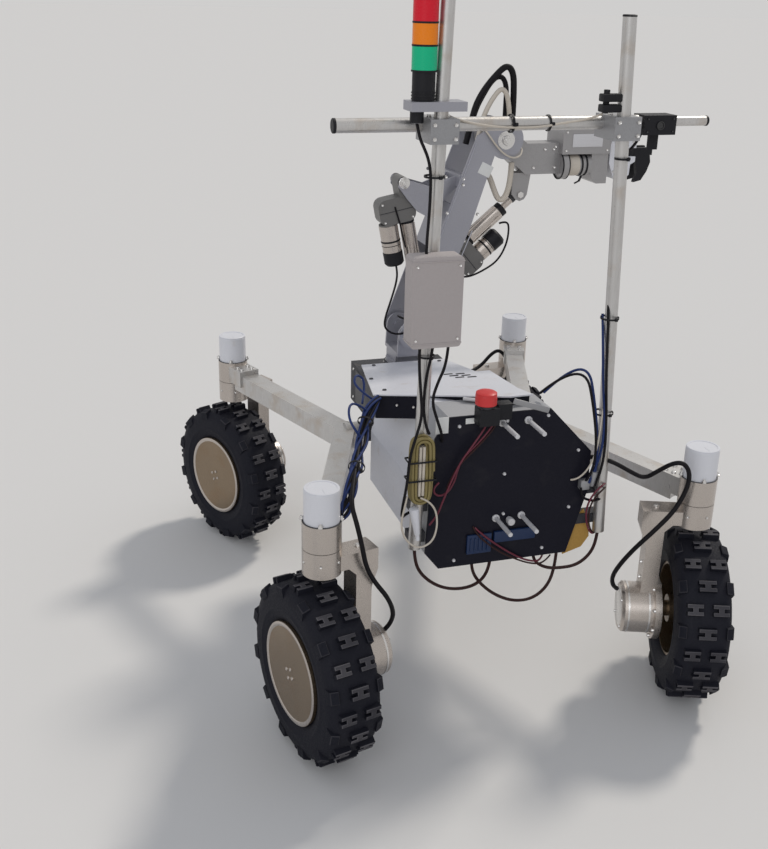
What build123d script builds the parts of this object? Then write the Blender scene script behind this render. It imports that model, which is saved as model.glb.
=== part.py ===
"""A student-built planetary rover prototype: four steered hub-motor wheels on two V-shaped rockers,
a boxy electronics body with a black rear plate, two sensor masts with a crossbar, and a slewing arm.

Millimetres. +X is the rover's right, +Y is forward, +Z is up. The origin lies on the floor under the
middle of the whole. Wheels and arm stand as in the photograph. All shapes are made about the middle
of the four wheels, and moved sideways by MIDDLE_X as they are written out.
"""
from build123d import *
import os
from math import atan2, degrees, hypot, pi, radians, tan

# The whole
MIDDLE_X = -38.5
RUNNING_GAP = 0.05

# Wheels and tyres
TYRE_R = 165.0
TYRE_W = 100.0
LUG_TALL = 10.0
LUG_LONG = 24.0
LUG_ROOT = 6.0
LUG_ROWS = 24
LUG_TABLE = (
    # the lugs of two rows in turn: from and to across the tread, and how far below the tips
    ((-36.0, -9.0, 0.0), (9.0, 36.0, 0.0)),
    ((-50.0, -36.0, 7.0), (-15.0, 15.0, 0.0), (36.0, 50.0, 7.0)),
)
TREAD_HALF = 36.0
SHOULDER_DROP = 26.0
SIDE_LOW_R = 114.0
BEAD_R = 88.0
BEAD_HALF = 38.0
RIM_WALL = 4.0
DISC_R = 91.0
DISC_THICK = 3.0
LIP_WIDE = 5.0
DISC_FROM_MID = 49.0
WHEEL_OUT = 12.0
BOSS_R = 26.0
AXLE_R = 15.0
AXLE_END = 8.0
AXLE_Z = TYRE_R

# Steering corners
TRACK = 702.0
WHEELBASE = 849.0
CORNERS = (
    # name, side, end, steering angle in the photograph in degrees about +Z
    ("rear_left", -1, -1, 13.4),
    ("rear_right", 1, -1, -20.0),
    ("front_left", -1, 1, 25.4),
    ("front_right", 1, 1, 5.0),
)
ARM_OVER_TYRE = 20.0
ARM_THICK = 27.0
HUB_UNDER_ARM = 3.0
SEAM_OVER_ARM = 16.0
STEER_TALL = 48.0
CAP_TALL = 58.0
ARM_LOW_Z = 2 * TYRE_R + ARM_OVER_TYRE
ARM_TOP_Z = ARM_LOW_Z + ARM_THICK
HUB_LOW_Z = ARM_LOW_Z - HUB_UNDER_ARM
STEER_R = 33.0
STEER_SEAM_Z = ARM_TOP_Z + SEAM_OVER_ARM
STEER_SEAM = 1.0
STEER_TOP_Z = STEER_SEAM_Z + STEER_TALL
STEER_SHAFT_R = 12.0
STEER_SHAFT_LEN = 20.0
CAP_R = 30.0
CAP_TOP_Z = STEER_TOP_Z + CAP_TALL
CAP_ROUND = 3.0

# Knuckle and hub motor, distances inboard from the steering axis
ARM_WIDE = 44.0
ARM_REACH = 96.0
LEG_FROM = 54.0
LEG_TO = 84.0
FLANGE_FROM = 46.0
FLANGE_THICK = 12.0
LEG_BEND = 14.0
LEG_TAPER = 45.0
ARM_NOSE = 12.0
FLANGE_R = 59.0
MOTOR_R = 48.0
MOTOR_LEN = 59.0
MOTOR_EDGE = 5.0
LEG_LAP = 14.0

# Rockers
TUBE = 40.0
TUBE_OVER_ARM = 7.0
SADDLE_ABOVE = 10.0
TUBE_LOW_Z = ARM_TOP_Z + TUBE_OVER_ARM
TUBE_TOP_Z = TUBE_LOW_Z + TUBE
TUBE_END_R = 46.0
SADDLE_HALF = 24.0
SADDLE_Z = (TUBE_TOP_Z + SADDLE_ABOVE - 1.5 * SADDLE_HALF, TUBE_TOP_Z + SADDLE_ABOVE)
SADDLE_REACH = 74.0
APEX_X = 197.0
PIVOT_Z = TUBE_LOW_Z + TUBE / 2
PIVOT_HUB_R = 27.0
PIVOT_HUB_LEN = 34.0
PIVOT_SHAFT_R = 15.0

# Body, masts and arm are drawn at the heights that they have with the rocker shaft at BODY_PIVOT_Z, and
# are raised as one where other tyres put the shaft higher
BODY_PIVOT_Z = 404.0
PLATE_Y = -366.0
PLATE_THICK = 4.0
BOX_FRONT_Y = -292.0
BOX_WALL = 3.0
BODY_LOW_Z = 289.0
BODY_TOP_Z = 577.0
BODY_OUTLINE = [
    # x, z seen from behind: round the plate from its bottom left corner
    (-124, BODY_LOW_Z), (125, BODY_LOW_Z), (158, 409), (158, 488), (73, BODY_TOP_Z),
    (-116, BODY_TOP_Z), (-140, 540), (-150, 322),
]
HULL_OUTLINE = [
    # x, z of the deeper white body in front of the box
    (-124, 297), (118, 297), (150, 409), (150, 470), (60, 575), (-116, 575), (-152, 425), (-152, 318),
]
HULL_FRONT_Y = -34.0
HOOD_HINGE_Y = -270.0
HOOD_HINGE_Z = 579.0
HOOD_SLOPE = 11.0
HOOD_THICK = 2.5
HOOD_ROOM = 60.0
HOOD_FRONT_Y = 153.0
HOOD_PLAN = [
    # x, y of the white cover seen from above
    (-203, -212), (-78, -290), (5, -344), (50, -341), (66, HOOD_FRONT_Y), (-120, HOOD_FRONT_Y),
]
SKIRT_DEPTH = 44.0
SKIRT_INSET = 5.0
SKIRT_WALL = 4.0
CHASSIS_HALF = 104.0
CHASSIS_LOW_Z = 372.0
CHASSIS_TOP_Z = 462.0
CHASSIS_FRONT_Y = 292.0
CHASSIS_WALL = 4.0

# Masts, crossbar and what they carry
MAST_R = 11.0
MAST_WALL = 2.0
SADDLE_BLOCK_Z = (352.0, 412.0)
SADDLE_BLOCK_HALF = 9.5
SADDLE_BLOCK_Y = (5.0, 29.0)
BAR_R = 11.0
BAR_END_R = 8.0
BAR_Y = -339.0
BAR_Z = 1055.0
MASTS = (
    # name, x and z of the foot, y, top z, x at the top
    ("left", -169.5, 336.0, -367.0, BAR_Z + 190.0, -147.0),
    ("right", 187.0, 327.0, -372.0, BAR_Z + 164.0, 149.0),
)
BAR_X = (-313.0, 258.0, 328.0)
CLAMP_HALF = 23.0
CLAMP_DEEP = (-389.0, -320.0)
CLAMP_Z = (BAR_Z - 24.0, BAR_Z + 13.0)
SENSOR_X = (200.0, BAR_X[1])
SENSOR_Y = (BAR_Y - 23.0, BAR_Y + 14.0)
SENSOR_Z = (BAR_Z - 19.0, BAR_Z + 12.0)
SENSOR_TAB_X = (222.0, 240.0)
SENSOR_TAB_DEEP = 26.0
SENSOR_TAB_THICK = 4.0
LIGHT_X = -181.0
LIGHT_Y = -367.0
SHELF_Z = (BAR_Z + 24.0, BAR_Z + 38.0)
SHELF_FROM_X = -205.0
SHELF_PAST_MAST = 34.0
SHELF_HALF_Y = 21.0
STUB_R = 9.0
STUB_DEEP = 18.0
LIGHT_BANDS = (
    # name, radius, height, each standing on the one before
    ("light_base", 17.5, 43.0),
    ("light_green", 19.0, 36.0),
    ("light_amber", 19.0, 32.0),
    ("light_red", 19.0, 37.0),
)
ANTENNA_X = (-206.0, -122.0)
ANTENNA_Y = (-420.0, -382.5)
ANTENNA_Z = (720.0, 866.0)
ANTENNA_ROUND = 6.0
ANTENNA_ARM_HALF = (20.0, 12.0)
ANTENNA_ARM_IN = 28.0
HANK_X = -169.0
HANK_Z = (450.0, 536.0)
HANK_WIDE = 46.0
HANK_DEEP = (29.0, 5.0)

# Rear plate's furniture: x, z
ROD_FEET = [(-19, 560), (30, 560), (-19, 377), (30, 377)]
ROD_R = 4.0
ROD_LEN = 68.0
STOP_X = -56.0
STOP_Y = -382.0
STOP_BODY_Z = (566.0, 596.0)
STOP_HEAD_Z = 622.0
STOP_HEAD_R = 18.5

# Arm, built in its own upright plane, heading for +X: points are x, z
ARM_Y = 210.0
SLEW_R = 50.0
SLEW_TOP_Z = 482.0
SPINDLE_R = 20.0
SPINDLE_DEEP = 12.0
POST_X = (-36.0, 38.0)
POST_HALF = 34.0
POST_TOP_Z = 514.0
CHEEK_Y = (39.0, 45.0)
CHEEK_R = 26.0
SHOULDER = (-8.0, 555.0)
ELBOW = (183.0, 962.0)
PLATE_Y_OUT = 56.0
PLATE_WALL = 4.0
SIDE_PLATE = [
    # one side plate without its round ends, from the low left corner up the back edge
    (-34, 563), (119, 972), (170, 998), ELBOW, (169, 962), (113, 783), (24, 563), SHOULDER,
]
SHOULDER_END_R = 28.0
ELBOW_END_R = 38.5
WEB_Z = (740.0, 834.0)
WEB_THICK = 4.5
TIE_BARS = (
    # x and z ranges of the square bars between the plates
    (86.0, 99.0, 868.0, 892.0),
    (46.0, 58.0, 640.0, 665.0),
)
PIVOT_PIN_R = 10.0
LIFT_PIN = (-26.0, 876.0)
LIFT_EYE = (40.0, 548.0)
LIFT_CHEEK = [
    # the bracket that holds the lift actuator, one of two cheeks
    (-34, 886), (32, 867), (66, 881), (99, 892), (92, 868),
    (60, 838), (26, 805), (5, 816), (-18, 842), (-38, 868),
]
LIFT_CHEEK_Y = (25.0, 29.0)
BEND_PIN = (67.0, 692.0)
BEND_EYE = (240.0, 842.0)
BEND_SPACER_R = 9.0
ACT_PIN_R = 5.0
ACT_ROD_R = 7.0
ACT_TUBE_R = 14.0
ACT_FORK_R = 12.0
ACT_FORK_HALF = 22.0
ACT_HEAD = (28.0, 82.0)
ACT_HEAD_ACROSS = (-61.0, 18.0)
ACT_HEAD_HALF = 20.0
ACT_HEAD_ROUND = 17.0
ACT_MOTOR_R = 19.5
ACT_MOTOR_OFF = -41.5
LIFT_REACH = (205.0, 110.0, 168.0)  # tube to, rod from, motor to, along the axis from the pin
BEND_REACH = (182.0, 64.0, 140.0)
EYE_R = 10.0
EYE_HALF = 8.0
BARREL_R = 30.0
BARREL_GAP = 1.5
NECK_HALF = 24.0
NECK = [
    # the forearm from the elbow to its dark gearbox
    (183, 991), (222, 968), (246, 950), (327, 950), (327, 886), (246, 886), (214, 912), (183, 933),
]
JOINT_RING = (29.0, 324.0, 336.0, 903.0)
DRIVE_CAN = (22.0, 335.0, 393.0, 903.0)
DRIVE_CAN_Y = ARM_Y - 19.0
FOREARM_END = 432.0
DRIVE_HALF = 40.0
DRIVE_CASE = [
    # the wide drive housing over the wrist
    (326, 982), (420, 982), (FOREARM_END, 972), (FOREARM_END, 928), (320, 928), (320, 972),
]
END_CASE = [
    # the arched box under the drive housing
    (393, 929), (393, 886), (398, 870), (408, 864), (FOREARM_END, 864), (FOREARM_END, 929),
]
END_CASE_HALF = 34.0
EYE_LUG = [
    # one lug of the forearm that holds the bend actuator's eye
    (222, 888), (262, 888), (256, 842), (250, 832), (240, 828), (230, 832), (222, 842),
]
WRIST_X = FOREARM_END + 0.3
WRIST_Z = 935.0
WRIST_SPINDLE_R = 12.0
PALM_HALF = 30.0
PALM = [
    # the gripper's white body
    (438, 945), (443, 958), (500, 958), (500, 908), (489, 902),
    (488, 880), (470, 868), (452, 872), (438, 905),
]
JAW_X = 492.0
JAW_Z = (920.0, 936.0)
JAW_SLOT_X = 478.0
JAW_HALF = 16.0
JAW_THICK = 10.0
JAW_PIN_R = 4.0
JAW_HUB_R = 9.0
JAW_TIP_X = 545.0
CLAW = [
    # one claw under its jaw's bar
    (504, 922), (540, 922), (543, 905), (536, 885), (524, 866), (506, 862), (512, 880), (508, 900),
]
LUG_GAP = 2.0
LUG_WALL = 5.0

# Cords: limp leads of the loops under the plate, each from one point of its route to the next
CORD_R = 3.0
CORD_FILL = 0.45
CORDS = (
    # name, route as x, y, z
    ("loop_left", (
        (-169.4, -367, 340), (-168.4, -367, 308), (-152, -369, 276), (-118, -371, 250), (-78, -370, 240),
        (-40, -364, 244), (-14, -346, 262), (-14, -346, BODY_LOW_Z),
    )),
    ("loop_middle", (
        (-50, -344, BODY_LOW_Z), (-50, -344, 264), (-36, -352, 238), (-6, -358, 211), (32, -361, 193),
        (72, -360, 192), (104, -355, 213), (119, -347, 251), (119, -347, BODY_LOW_Z),
    )),
    ("loop_right", (
        (186.5, -372, 331), (185.5, -372, 303), (175, -370, 275), (152, -366, 255), (122, -361, 251),
        (98, -355, 251), (79, -348, 260), (72, -345, 274), (72, -345, BODY_LOW_Z),
    )),
)


NODES = {}


def box(x0, x1, y0, y1, z0, z1):
    """A box between two corners."""
    return Pos((x0 + x1) / 2, (y0 + y1) / 2, (z0 + z1) / 2) * Box(x1 - x0, y1 - y0, z1 - z0)


def rod_x(r, x0, x1, y, z):
    """A round bar along X."""
    return Pos((x0 + x1) / 2, y, z) * Rot(0, 90, 0) * Cylinder(r, abs(x1 - x0))


def rod_y(r, x, y0, y1, z):
    """A round bar along Y."""
    return Pos(x, (y0 + y1) / 2, z) * Rot(90, 0, 0) * Cylinder(r, abs(y1 - y0))


def rod_z(r, x, y, z0, z1):
    """A round bar along Z."""
    return Pos(x, y, (z0 + z1) / 2) * Cylinder(r, abs(z1 - z0))


def slab_y(points, y0, y1):
    """A flat plate standing across Y, from its x, z outline."""
    face = make_face(Polyline(*[(x, y0, z) for x, z in points], close=True))
    return extrude(face, amount=y1 - y0, dir=(0, 1, 0))


def strap_y(a, b, wide, y0, y1):
    """A flat link across Y with round ends, from pivot a to pivot b in x, z."""
    reach = hypot(b[0] - a[0], b[1] - a[1])
    turn = degrees(atan2(b[1] - a[1], b[0] - a[0]))
    flat = Pos(reach / 2, 0, 0) * Box(reach, y1 - y0, wide)
    ends = rod_y(wide / 2, 0, (y0 - y1) / 2, (y1 - y0) / 2, 0)
    ends += rod_y(wide / 2, reach, (y0 - y1) / 2, (y1 - y0) / 2, 0)
    return Pos(a[0], (y0 + y1) / 2, a[1]) * Rot(0, -turn, 0) * (flat + ends)


# Wheels, made about the steering axis with the outboard side towards -X

def ring_of_flats(stations):
    """A solid with one flat for each row of lugs, through stations of (x, distance of the flat)."""
    turn = 180 / LUG_ROWS
    rings = []
    for x, flat in stations:
        plane = Plane(origin=(x, 0, 0), x_dir=(0, 0, -1), z_dir=(1, 0, 0))
        rings.append(plane * RegularPolygon(flat, LUG_ROWS, major_radius=False, rotation=turn))
    return loft(rings, ruled=True)


def tyre():
    """The carcass with its knobby lugs, two kinds of row in turn."""
    half = TYRE_W / 2
    tread = TYRE_R - LUG_TALL
    shoulder = TYRE_R - SHOULDER_DROP
    outside = [(-half, shoulder), (-TREAD_HALF, tread), (TREAD_HALF, tread), (half, shoulder)]
    inside = [(-half, SIDE_LOW_R), (-BEAD_HALF, BEAD_R), (BEAD_HALF, BEAD_R), (half, SIDE_LOW_R)]
    carcass = ring_of_flats(outside) - ring_of_flats(inside)
    lugs = []
    for row in range(LUG_ROWS):
        for start, end, below in LUG_TABLE[row % 2]:
            root = tread - LUG_ROOT - 2 * below
            lug = box(start, end, -LUG_LONG / 2, LUG_LONG / 2, below - TYRE_R, -root)
            lugs.append(Rot(row * 360 / LUG_ROWS, 0, 0) * lug)
    return Pos(-WHEEL_OUT, 0, AXLE_Z) * carcass.fuse(*lugs)


def rim():
    """The barrel with its two lips, the flat outer disc, the hub boss and the axle."""
    mid = -WHEEL_OUT
    face = mid - DISC_FROM_MID
    back = mid + BEAD_HALF
    barrel = rod_x(BEAD_R, mid - BEAD_HALF, back, 0, AXLE_Z)
    barrel += rod_x(DISC_R, face, face + LIP_WIDE, 0, AXLE_Z)
    barrel += rod_x(BEAD_R - 1, face, mid - BEAD_HALF + 1, 0, AXLE_Z)
    barrel -= rod_x(BEAD_R - RIM_WALL, face + DISC_THICK, back + 1, 0, AXLE_Z)
    boss = rod_x(BOSS_R, face, back, 0, AXLE_Z)
    axle = rod_x(AXLE_R, back - 1, FLANGE_FROM + FLANGE_THICK + AXLE_END, 0, AXLE_Z)
    return barrel + boss + axle


def knuckle():
    """The steered piece: a round hub, a bent arm inboard over the tyre and the motor's flange."""
    hub = rod_z(STEER_R, 0, 0, HUB_LOW_Z, STEER_SEAM_Z)
    shaft = rod_z(STEER_SHAFT_R, 0, 0, STEER_SEAM_Z - 1, STEER_SEAM_Z + STEER_SHAFT_LEN)
    half = ARM_WIDE / 2
    foot_z = AXLE_Z + MOTOR_R - LEG_LAP
    arm = slab_y([
        (0, ARM_LOW_Z), (LEG_FROM - LEG_BEND, ARM_LOW_Z), (LEG_FROM, ARM_LOW_Z - LEG_BEND),
        (LEG_FROM, foot_z), (LEG_TO, foot_z), (LEG_TO, ARM_LOW_Z - LEG_TAPER),
        (ARM_REACH, ARM_LOW_Z - ARM_NOSE), (ARM_REACH, ARM_TOP_Z), (0, ARM_TOP_Z),
    ], -half, half)
    flange = rod_x(FLANGE_R, FLANGE_FROM, FLANGE_FROM + FLANGE_THICK, 0, AXLE_Z)
    foot = box(FLANGE_FROM, LEG_TO, -half, half, foot_z, foot_z + 2 * LEG_LAP)
    solid = hub + shaft + arm + foot + flange
    solid -= rod_x(MOTOR_R, FLANGE_FROM + FLANGE_THICK, ARM_REACH + 1, 0, AXLE_Z)
    return solid - rod_x(AXLE_R + RUNNING_GAP, FLANGE_FROM - 1, FLANGE_FROM + FLANGE_THICK + 1, 0, AXLE_Z)


def hub_motor():
    """The gearmotor's can, with a bevelled back edge."""
    start = FLANGE_FROM + FLANGE_THICK
    can = rod_x(MOTOR_R, start, start + MOTOR_LEN, 0, AXLE_Z)
    can = chamfer(can.edges().group_by(Axis.X)[-1], MOTOR_EDGE)
    return can - rod_x(AXLE_R + RUNNING_GAP, start - 1, start + AXLE_END + 2, 0, AXLE_Z)


def steer_housing():
    """The fixed steering gearbox over the knuckle."""
    can = rod_z(STEER_R, 0, 0, STEER_SEAM_Z + STEER_SEAM, STEER_TOP_Z)
    return can - rod_z(STEER_SHAFT_R + RUNNING_GAP, 0, 0, STEER_SEAM_Z, STEER_SEAM_Z + STEER_SHAFT_LEN + 2)


def steer_cap():
    """The white plastic cap over the steering motor."""
    cap = rod_z(CAP_R, 0, 0, STEER_TOP_Z, CAP_TOP_Z)
    return fillet(cap.edges().group_by(Axis.Z)[-1], CAP_ROUND)


def add_corners():
    """Places the four wheels, knuckles and motors, and gathers the fixed steering pieces."""
    tyre_form, rim_form, knuckle_form, motor_form = tyre(), rim(), knuckle(), hub_motor()
    housings, caps = [], []
    for name, side, end, steer in CORNERS:
        post = Pos(side * TRACK / 2, end * WHEELBASE / 2, 0)
        turned = post * Rot(0, 0, steer if side < 0 else steer + 180)
        NODES["tyre_" + name] = turned * tyre_form
        NODES["rim_" + name] = turned * rim_form
        NODES["knuckle_" + name] = turned * knuckle_form
        NODES["hub_motor_" + name] = turned * motor_form
        housings.append(post * steer_housing())
        caps.append(post * steer_cap())
    NODES["steer_housings"] = Compound(housings)
    NODES["steer_caps"] = Compound(caps)


def rocker(side):
    """Two square tubes that meet at the pivot beside the body and end at the steering gearboxes."""
    reach_x = TRACK / 2 - APEX_X
    reach_y = WHEELBASE / 2
    length = hypot(reach_x, reach_y)
    legs = rod_z(TUBE / 2, side * APEX_X, 0, TUBE_LOW_Z, TUBE_TOP_Z)
    for end in (-1, 1):
        heading = degrees(atan2(end * reach_y, side * reach_x))
        tube = Pos(length / 2, 0, PIVOT_Z) * Box(length, TUBE, TUBE)
        tube -= rod_z(TUBE_END_R, length, 0, TUBE_LOW_Z - 1, TUBE_TOP_Z + 1)
        saddle = box(length - SADDLE_REACH, length, -SADDLE_HALF, SADDLE_HALF, *SADDLE_Z)
        saddle -= rod_z(STEER_R, length, 0, SADDLE_Z[0] - 1, SADDLE_Z[1] + 1)
        legs += Pos(side * APEX_X, 0, 0) * Rot(0, 0, heading) * (tube + saddle)
    inner = APEX_X - PIVOT_HUB_LEN
    return legs + rod_x(PIVOT_HUB_R, side * inner, side * APEX_X, 0, PIVOT_Z)


# Body

def above_hood(lift):
    """A large block whose flat underside lies on the cover's plane, raised by lift."""
    block = Pos(0, 0, WHEELBASE / 2) * Box(3 * TRACK, 3 * WHEELBASE, WHEELBASE)
    return Pos(0, HOOD_HINGE_Y, HOOD_HINGE_Z + lift) * Rot(-HOOD_SLOPE, 0, 0) * block


def rear_box():
    """The shallow electronics box behind the rear plate."""
    outer = slab_y(BODY_OUTLINE, PLATE_Y, BOX_FRONT_Y)
    outline = make_face(Polyline(*[(x, 0, z) for x, z in BODY_OUTLINE], close=True))
    inner = offset(outline, -BOX_WALL, kind=Kind.INTERSECTION)
    deep = BOX_FRONT_Y - PLATE_Y - BOX_WALL
    return outer - Pos(0, PLATE_Y - 1, 0) * extrude(inner, amount=deep + 1, dir=(0, 1, 0))


def hull():
    """The white folded body between the rear box and the chassis, under the sloping cover."""
    return slab_y(HULL_OUTLINE, BOX_FRONT_Y, HULL_FRONT_Y) - above_hood(-0.3)


def hood_prism(plan, z0, z1):
    """An upright prism of the cover's plan."""
    face = make_face(Polyline(*[(x, y, z0) for x, y in plan], close=True))
    return extrude(face, amount=z1 - z0, dir=(0, 0, 1))


def hood():
    """The white sheet cover, sloping down to the arm's foot."""
    prism = hood_prism(HOOD_PLAN, CHASSIS_TOP_Z, BODY_TOP_Z + HOOD_ROOM)
    return prism & (above_hood(0) - above_hood(HOOD_THICK))


def lid_frame():
    """The black frame under the cover's edge."""
    plan = make_face(Polyline(*[(x, y, 0) for x, y in HOOD_PLAN], close=True))
    outer = offset(plan, -SKIRT_INSET, kind=Kind.INTERSECTION)
    inner = offset(plan, -SKIRT_INSET - SKIRT_WALL, kind=Kind.INTERSECTION)
    ring = extrude(outer, amount=900, dir=(0, 0, 1)) - extrude(inner, amount=900, dir=(0, 0, 1))
    ring = ring & (above_hood(-SKIRT_DEPTH) - above_hood(0))
    ring -= slab_y(HULL_OUTLINE, BOX_FRONT_Y, HULL_FRONT_Y)
    ring -= box(-CHASSIS_HALF, CHASSIS_HALF, HULL_FRONT_Y, CHASSIS_FRONT_Y, 0, CHASSIS_TOP_Z)
    return ring - slab_y(BODY_OUTLINE, PLATE_Y - 20, BOX_FRONT_Y)


def chassis():
    """The dark front frame that carries the rocker shaft and the arm."""
    outer = box(-CHASSIS_HALF, CHASSIS_HALF, HULL_FRONT_Y, CHASSIS_FRONT_Y, CHASSIS_LOW_Z, CHASSIS_TOP_Z)
    wall = CHASSIS_WALL
    room = box(
        wall - CHASSIS_HALF, CHASSIS_HALF - wall, HULL_FRONT_Y - 1, CHASSIS_FRONT_Y - wall,
        CHASSIS_LOW_Z + wall, CHASSIS_TOP_Z - wall,
    )
    end = APEX_X - PIVOT_HUB_LEN
    return outer - room + rod_x(PIVOT_SHAFT_R, -end, end, 0, BODY_PIVOT_Z)


# Masts

def mast_bar(foot_x, foot_z, y, top_z, top_x, r):
    """A round bar along a mast's leaning axis."""
    start = Vector(foot_x, y, foot_z)
    line = Vector(top_x, y, top_z) - start
    return extrude(Plane(origin=start, z_dir=line) * Circle(r), amount=line.length)


def mast_x(mast, z):
    """Where a mast's axis is at a height."""
    _, foot_x, foot_z, _, top_z, top_x = mast
    return foot_x + (top_x - foot_x) * (z - foot_z) / (top_z - foot_z)


def crossbar():
    """The long bar and its thinner right end."""
    bar = rod_x(BAR_R, BAR_X[0], BAR_X[1], BAR_Y, BAR_Z)
    return bar + rod_x(BAR_END_R, BAR_X[1] - 1, BAR_X[2], BAR_Y, BAR_Z)


def add_masts():
    """The two masts with the blocks that hold the crossbar and the body."""
    blocks, feet = [], []
    body = slab_y(BODY_OUTLINE, PLATE_Y - PLATE_THICK, BOX_FRONT_Y)
    for mast in MASTS:
        name, foot_x, foot_z, y, top_z, top_x = mast
        solid = mast_bar(foot_x, foot_z, y, top_z, top_x, MAST_R)
        bore = mast_bar(foot_x, foot_z, y, top_z, top_x, MAST_R - MAST_WALL)
        NODES["mast_" + name] = solid - bore
        x = mast_x(mast, BAR_Z)
        block = box(x - CLAMP_HALF, x + CLAMP_HALF, *CLAMP_DEEP, *CLAMP_Z)
        blocks.append(block - solid - rod_x(BAR_R, *BAR_X[:2], BAR_Y, BAR_Z))
        side = -1 if name == "left" else 1
        for z in SADDLE_BLOCK_Z:
            x = mast_x(mast, z)
            x0, x1 = sorted((side * CHASSIS_HALF, x + side * (MAST_R - 2)))
            y0, y1 = (y + reach for reach in SADDLE_BLOCK_Y)
            block = box(x0, x1, y0, y1, z - SADDLE_BLOCK_HALF, z + SADDLE_BLOCK_HALF)
            feet.append(block - solid - body)
    NODES["crossbar"] = crossbar()
    NODES["bar_clamps"] = Compound(blocks)
    NODES["mast_brackets"] = Compound(feet)
    sensor = box(*SENSOR_X, *SENSOR_Y, *SENSOR_Z) - NODES["crossbar"]
    tab_y = (BAR_Y - SENSOR_TAB_THICK / 2, BAR_Y + SENSOR_TAB_THICK / 2)
    tab = box(*SENSOR_TAB_X, *tab_y, SENSOR_Z[0] - SENSOR_TAB_DEEP, SENSOR_Z[0])
    NODES["bar_sensor"] = sensor + tab


def add_mast_load():
    """The signal light on its shelf, the antenna box and the tied hank of cable on the left mast."""
    left = MASTS[0]
    y = left[3]
    solid = mast_bar(*left[1:], MAST_R)
    shelf_x = mast_x(left, SHELF_Z[0])
    shelf = box(SHELF_FROM_X, shelf_x + SHELF_PAST_MAST, y - SHELF_HALF_Y, y + SHELF_HALF_Y, *SHELF_Z)
    shelf += rod_z(STUB_R, LIGHT_X - STUB_R, y, SHELF_Z[0] - STUB_DEEP, SHELF_Z[0] + 1)
    NODES["light_shelf"] = shelf - solid
    low = SHELF_Z[1]
    for name, radius, height in LIGHT_BANDS:
        NODES[name] = rod_z(radius, LIGHT_X, LIGHT_Y, low, low + height) - solid
        low += height
    case = fillet(box(*ANTENNA_X, *ANTENNA_Y, *ANTENNA_Z).edges().filter_by(Axis.Y), ANTENNA_ROUND)
    half_x, half_z = ANTENNA_ARM_HALF
    for z in (ANTENNA_Z[0] + ANTENNA_ARM_IN, ANTENNA_Z[1] - ANTENNA_ARM_IN):
        x = mast_x(left, z)
        case += box(x - half_x, x + half_x, ANTENNA_Y[1] - 1, y - 4, z - half_z, z + half_z)
    NODES["antenna_box"] = case - solid
    ends = [(HANK_X, z) for z in HANK_Z]
    NODES["cable_hank"] = strap_y(*ends, HANK_WIDE, y - HANK_DEEP[0], y - HANK_DEEP[1]) - solid


def cord(points):
    """A round cord along straight runs, joined by arcs as large as the runs allow."""
    spots = [Vector(*point) for point in points]
    runs = [end - start for start, end in zip(spots, spots[1:])]
    bends = []
    length = sum(run.length for run in runs)
    for one, two in zip(runs, runs[1:]):
        half_turn = radians(one.get_angle(two)) / 2
        bend = CORD_FILL * min(one.length, two.length) / tan(half_turn)
        length -= 2 * bend * (tan(half_turn) - half_turn)
        bends.append(bend)
    path = FilletPolyline(*spots, radius=bends)
    tube = sweep(Plane(origin=spots[0], z_dir=runs[0]) * Circle(CORD_R), path=path)
    return tube, bends, length


def add_cords():
    """The loops of cable under the rear plate, with their bends and lengths printed."""
    for name, route in CORDS:
        tube, bends, length = cord(route)
        NODES[name] = tube
        print(name, "bends", [round(bend) for bend in bends], "length", round(length))
        print("volume", round(tube.volume), "against", round(pi * CORD_R ** 2 * length))


def add_plate():
    """The rear plate with its rods and the emergency stop."""
    face = PLATE_Y - PLATE_THICK
    NODES["rear_plate"] = slab_y(BODY_OUTLINE, face, PLATE_Y)
    NODES["plate_rods"] = Compound([rod_y(ROD_R, x, face - ROD_LEN, face, z) for x, z in ROD_FEET])
    body = box(STOP_X - 15, STOP_X + 21, STOP_Y - 15, face, *STOP_BODY_Z)
    NODES["stop_body"] = body + rod_z(10, STOP_X, STOP_Y, STOP_BODY_Z[1] - 1, STOP_BODY_Z[1] + 6)
    head = rod_z(STOP_HEAD_R, STOP_X, STOP_Y, STOP_BODY_Z[1] + 6, STOP_HEAD_Z)
    NODES["stop_button"] = fillet(head.edges().group_by(Axis.Z)[-1], 5)


# Arm

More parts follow.
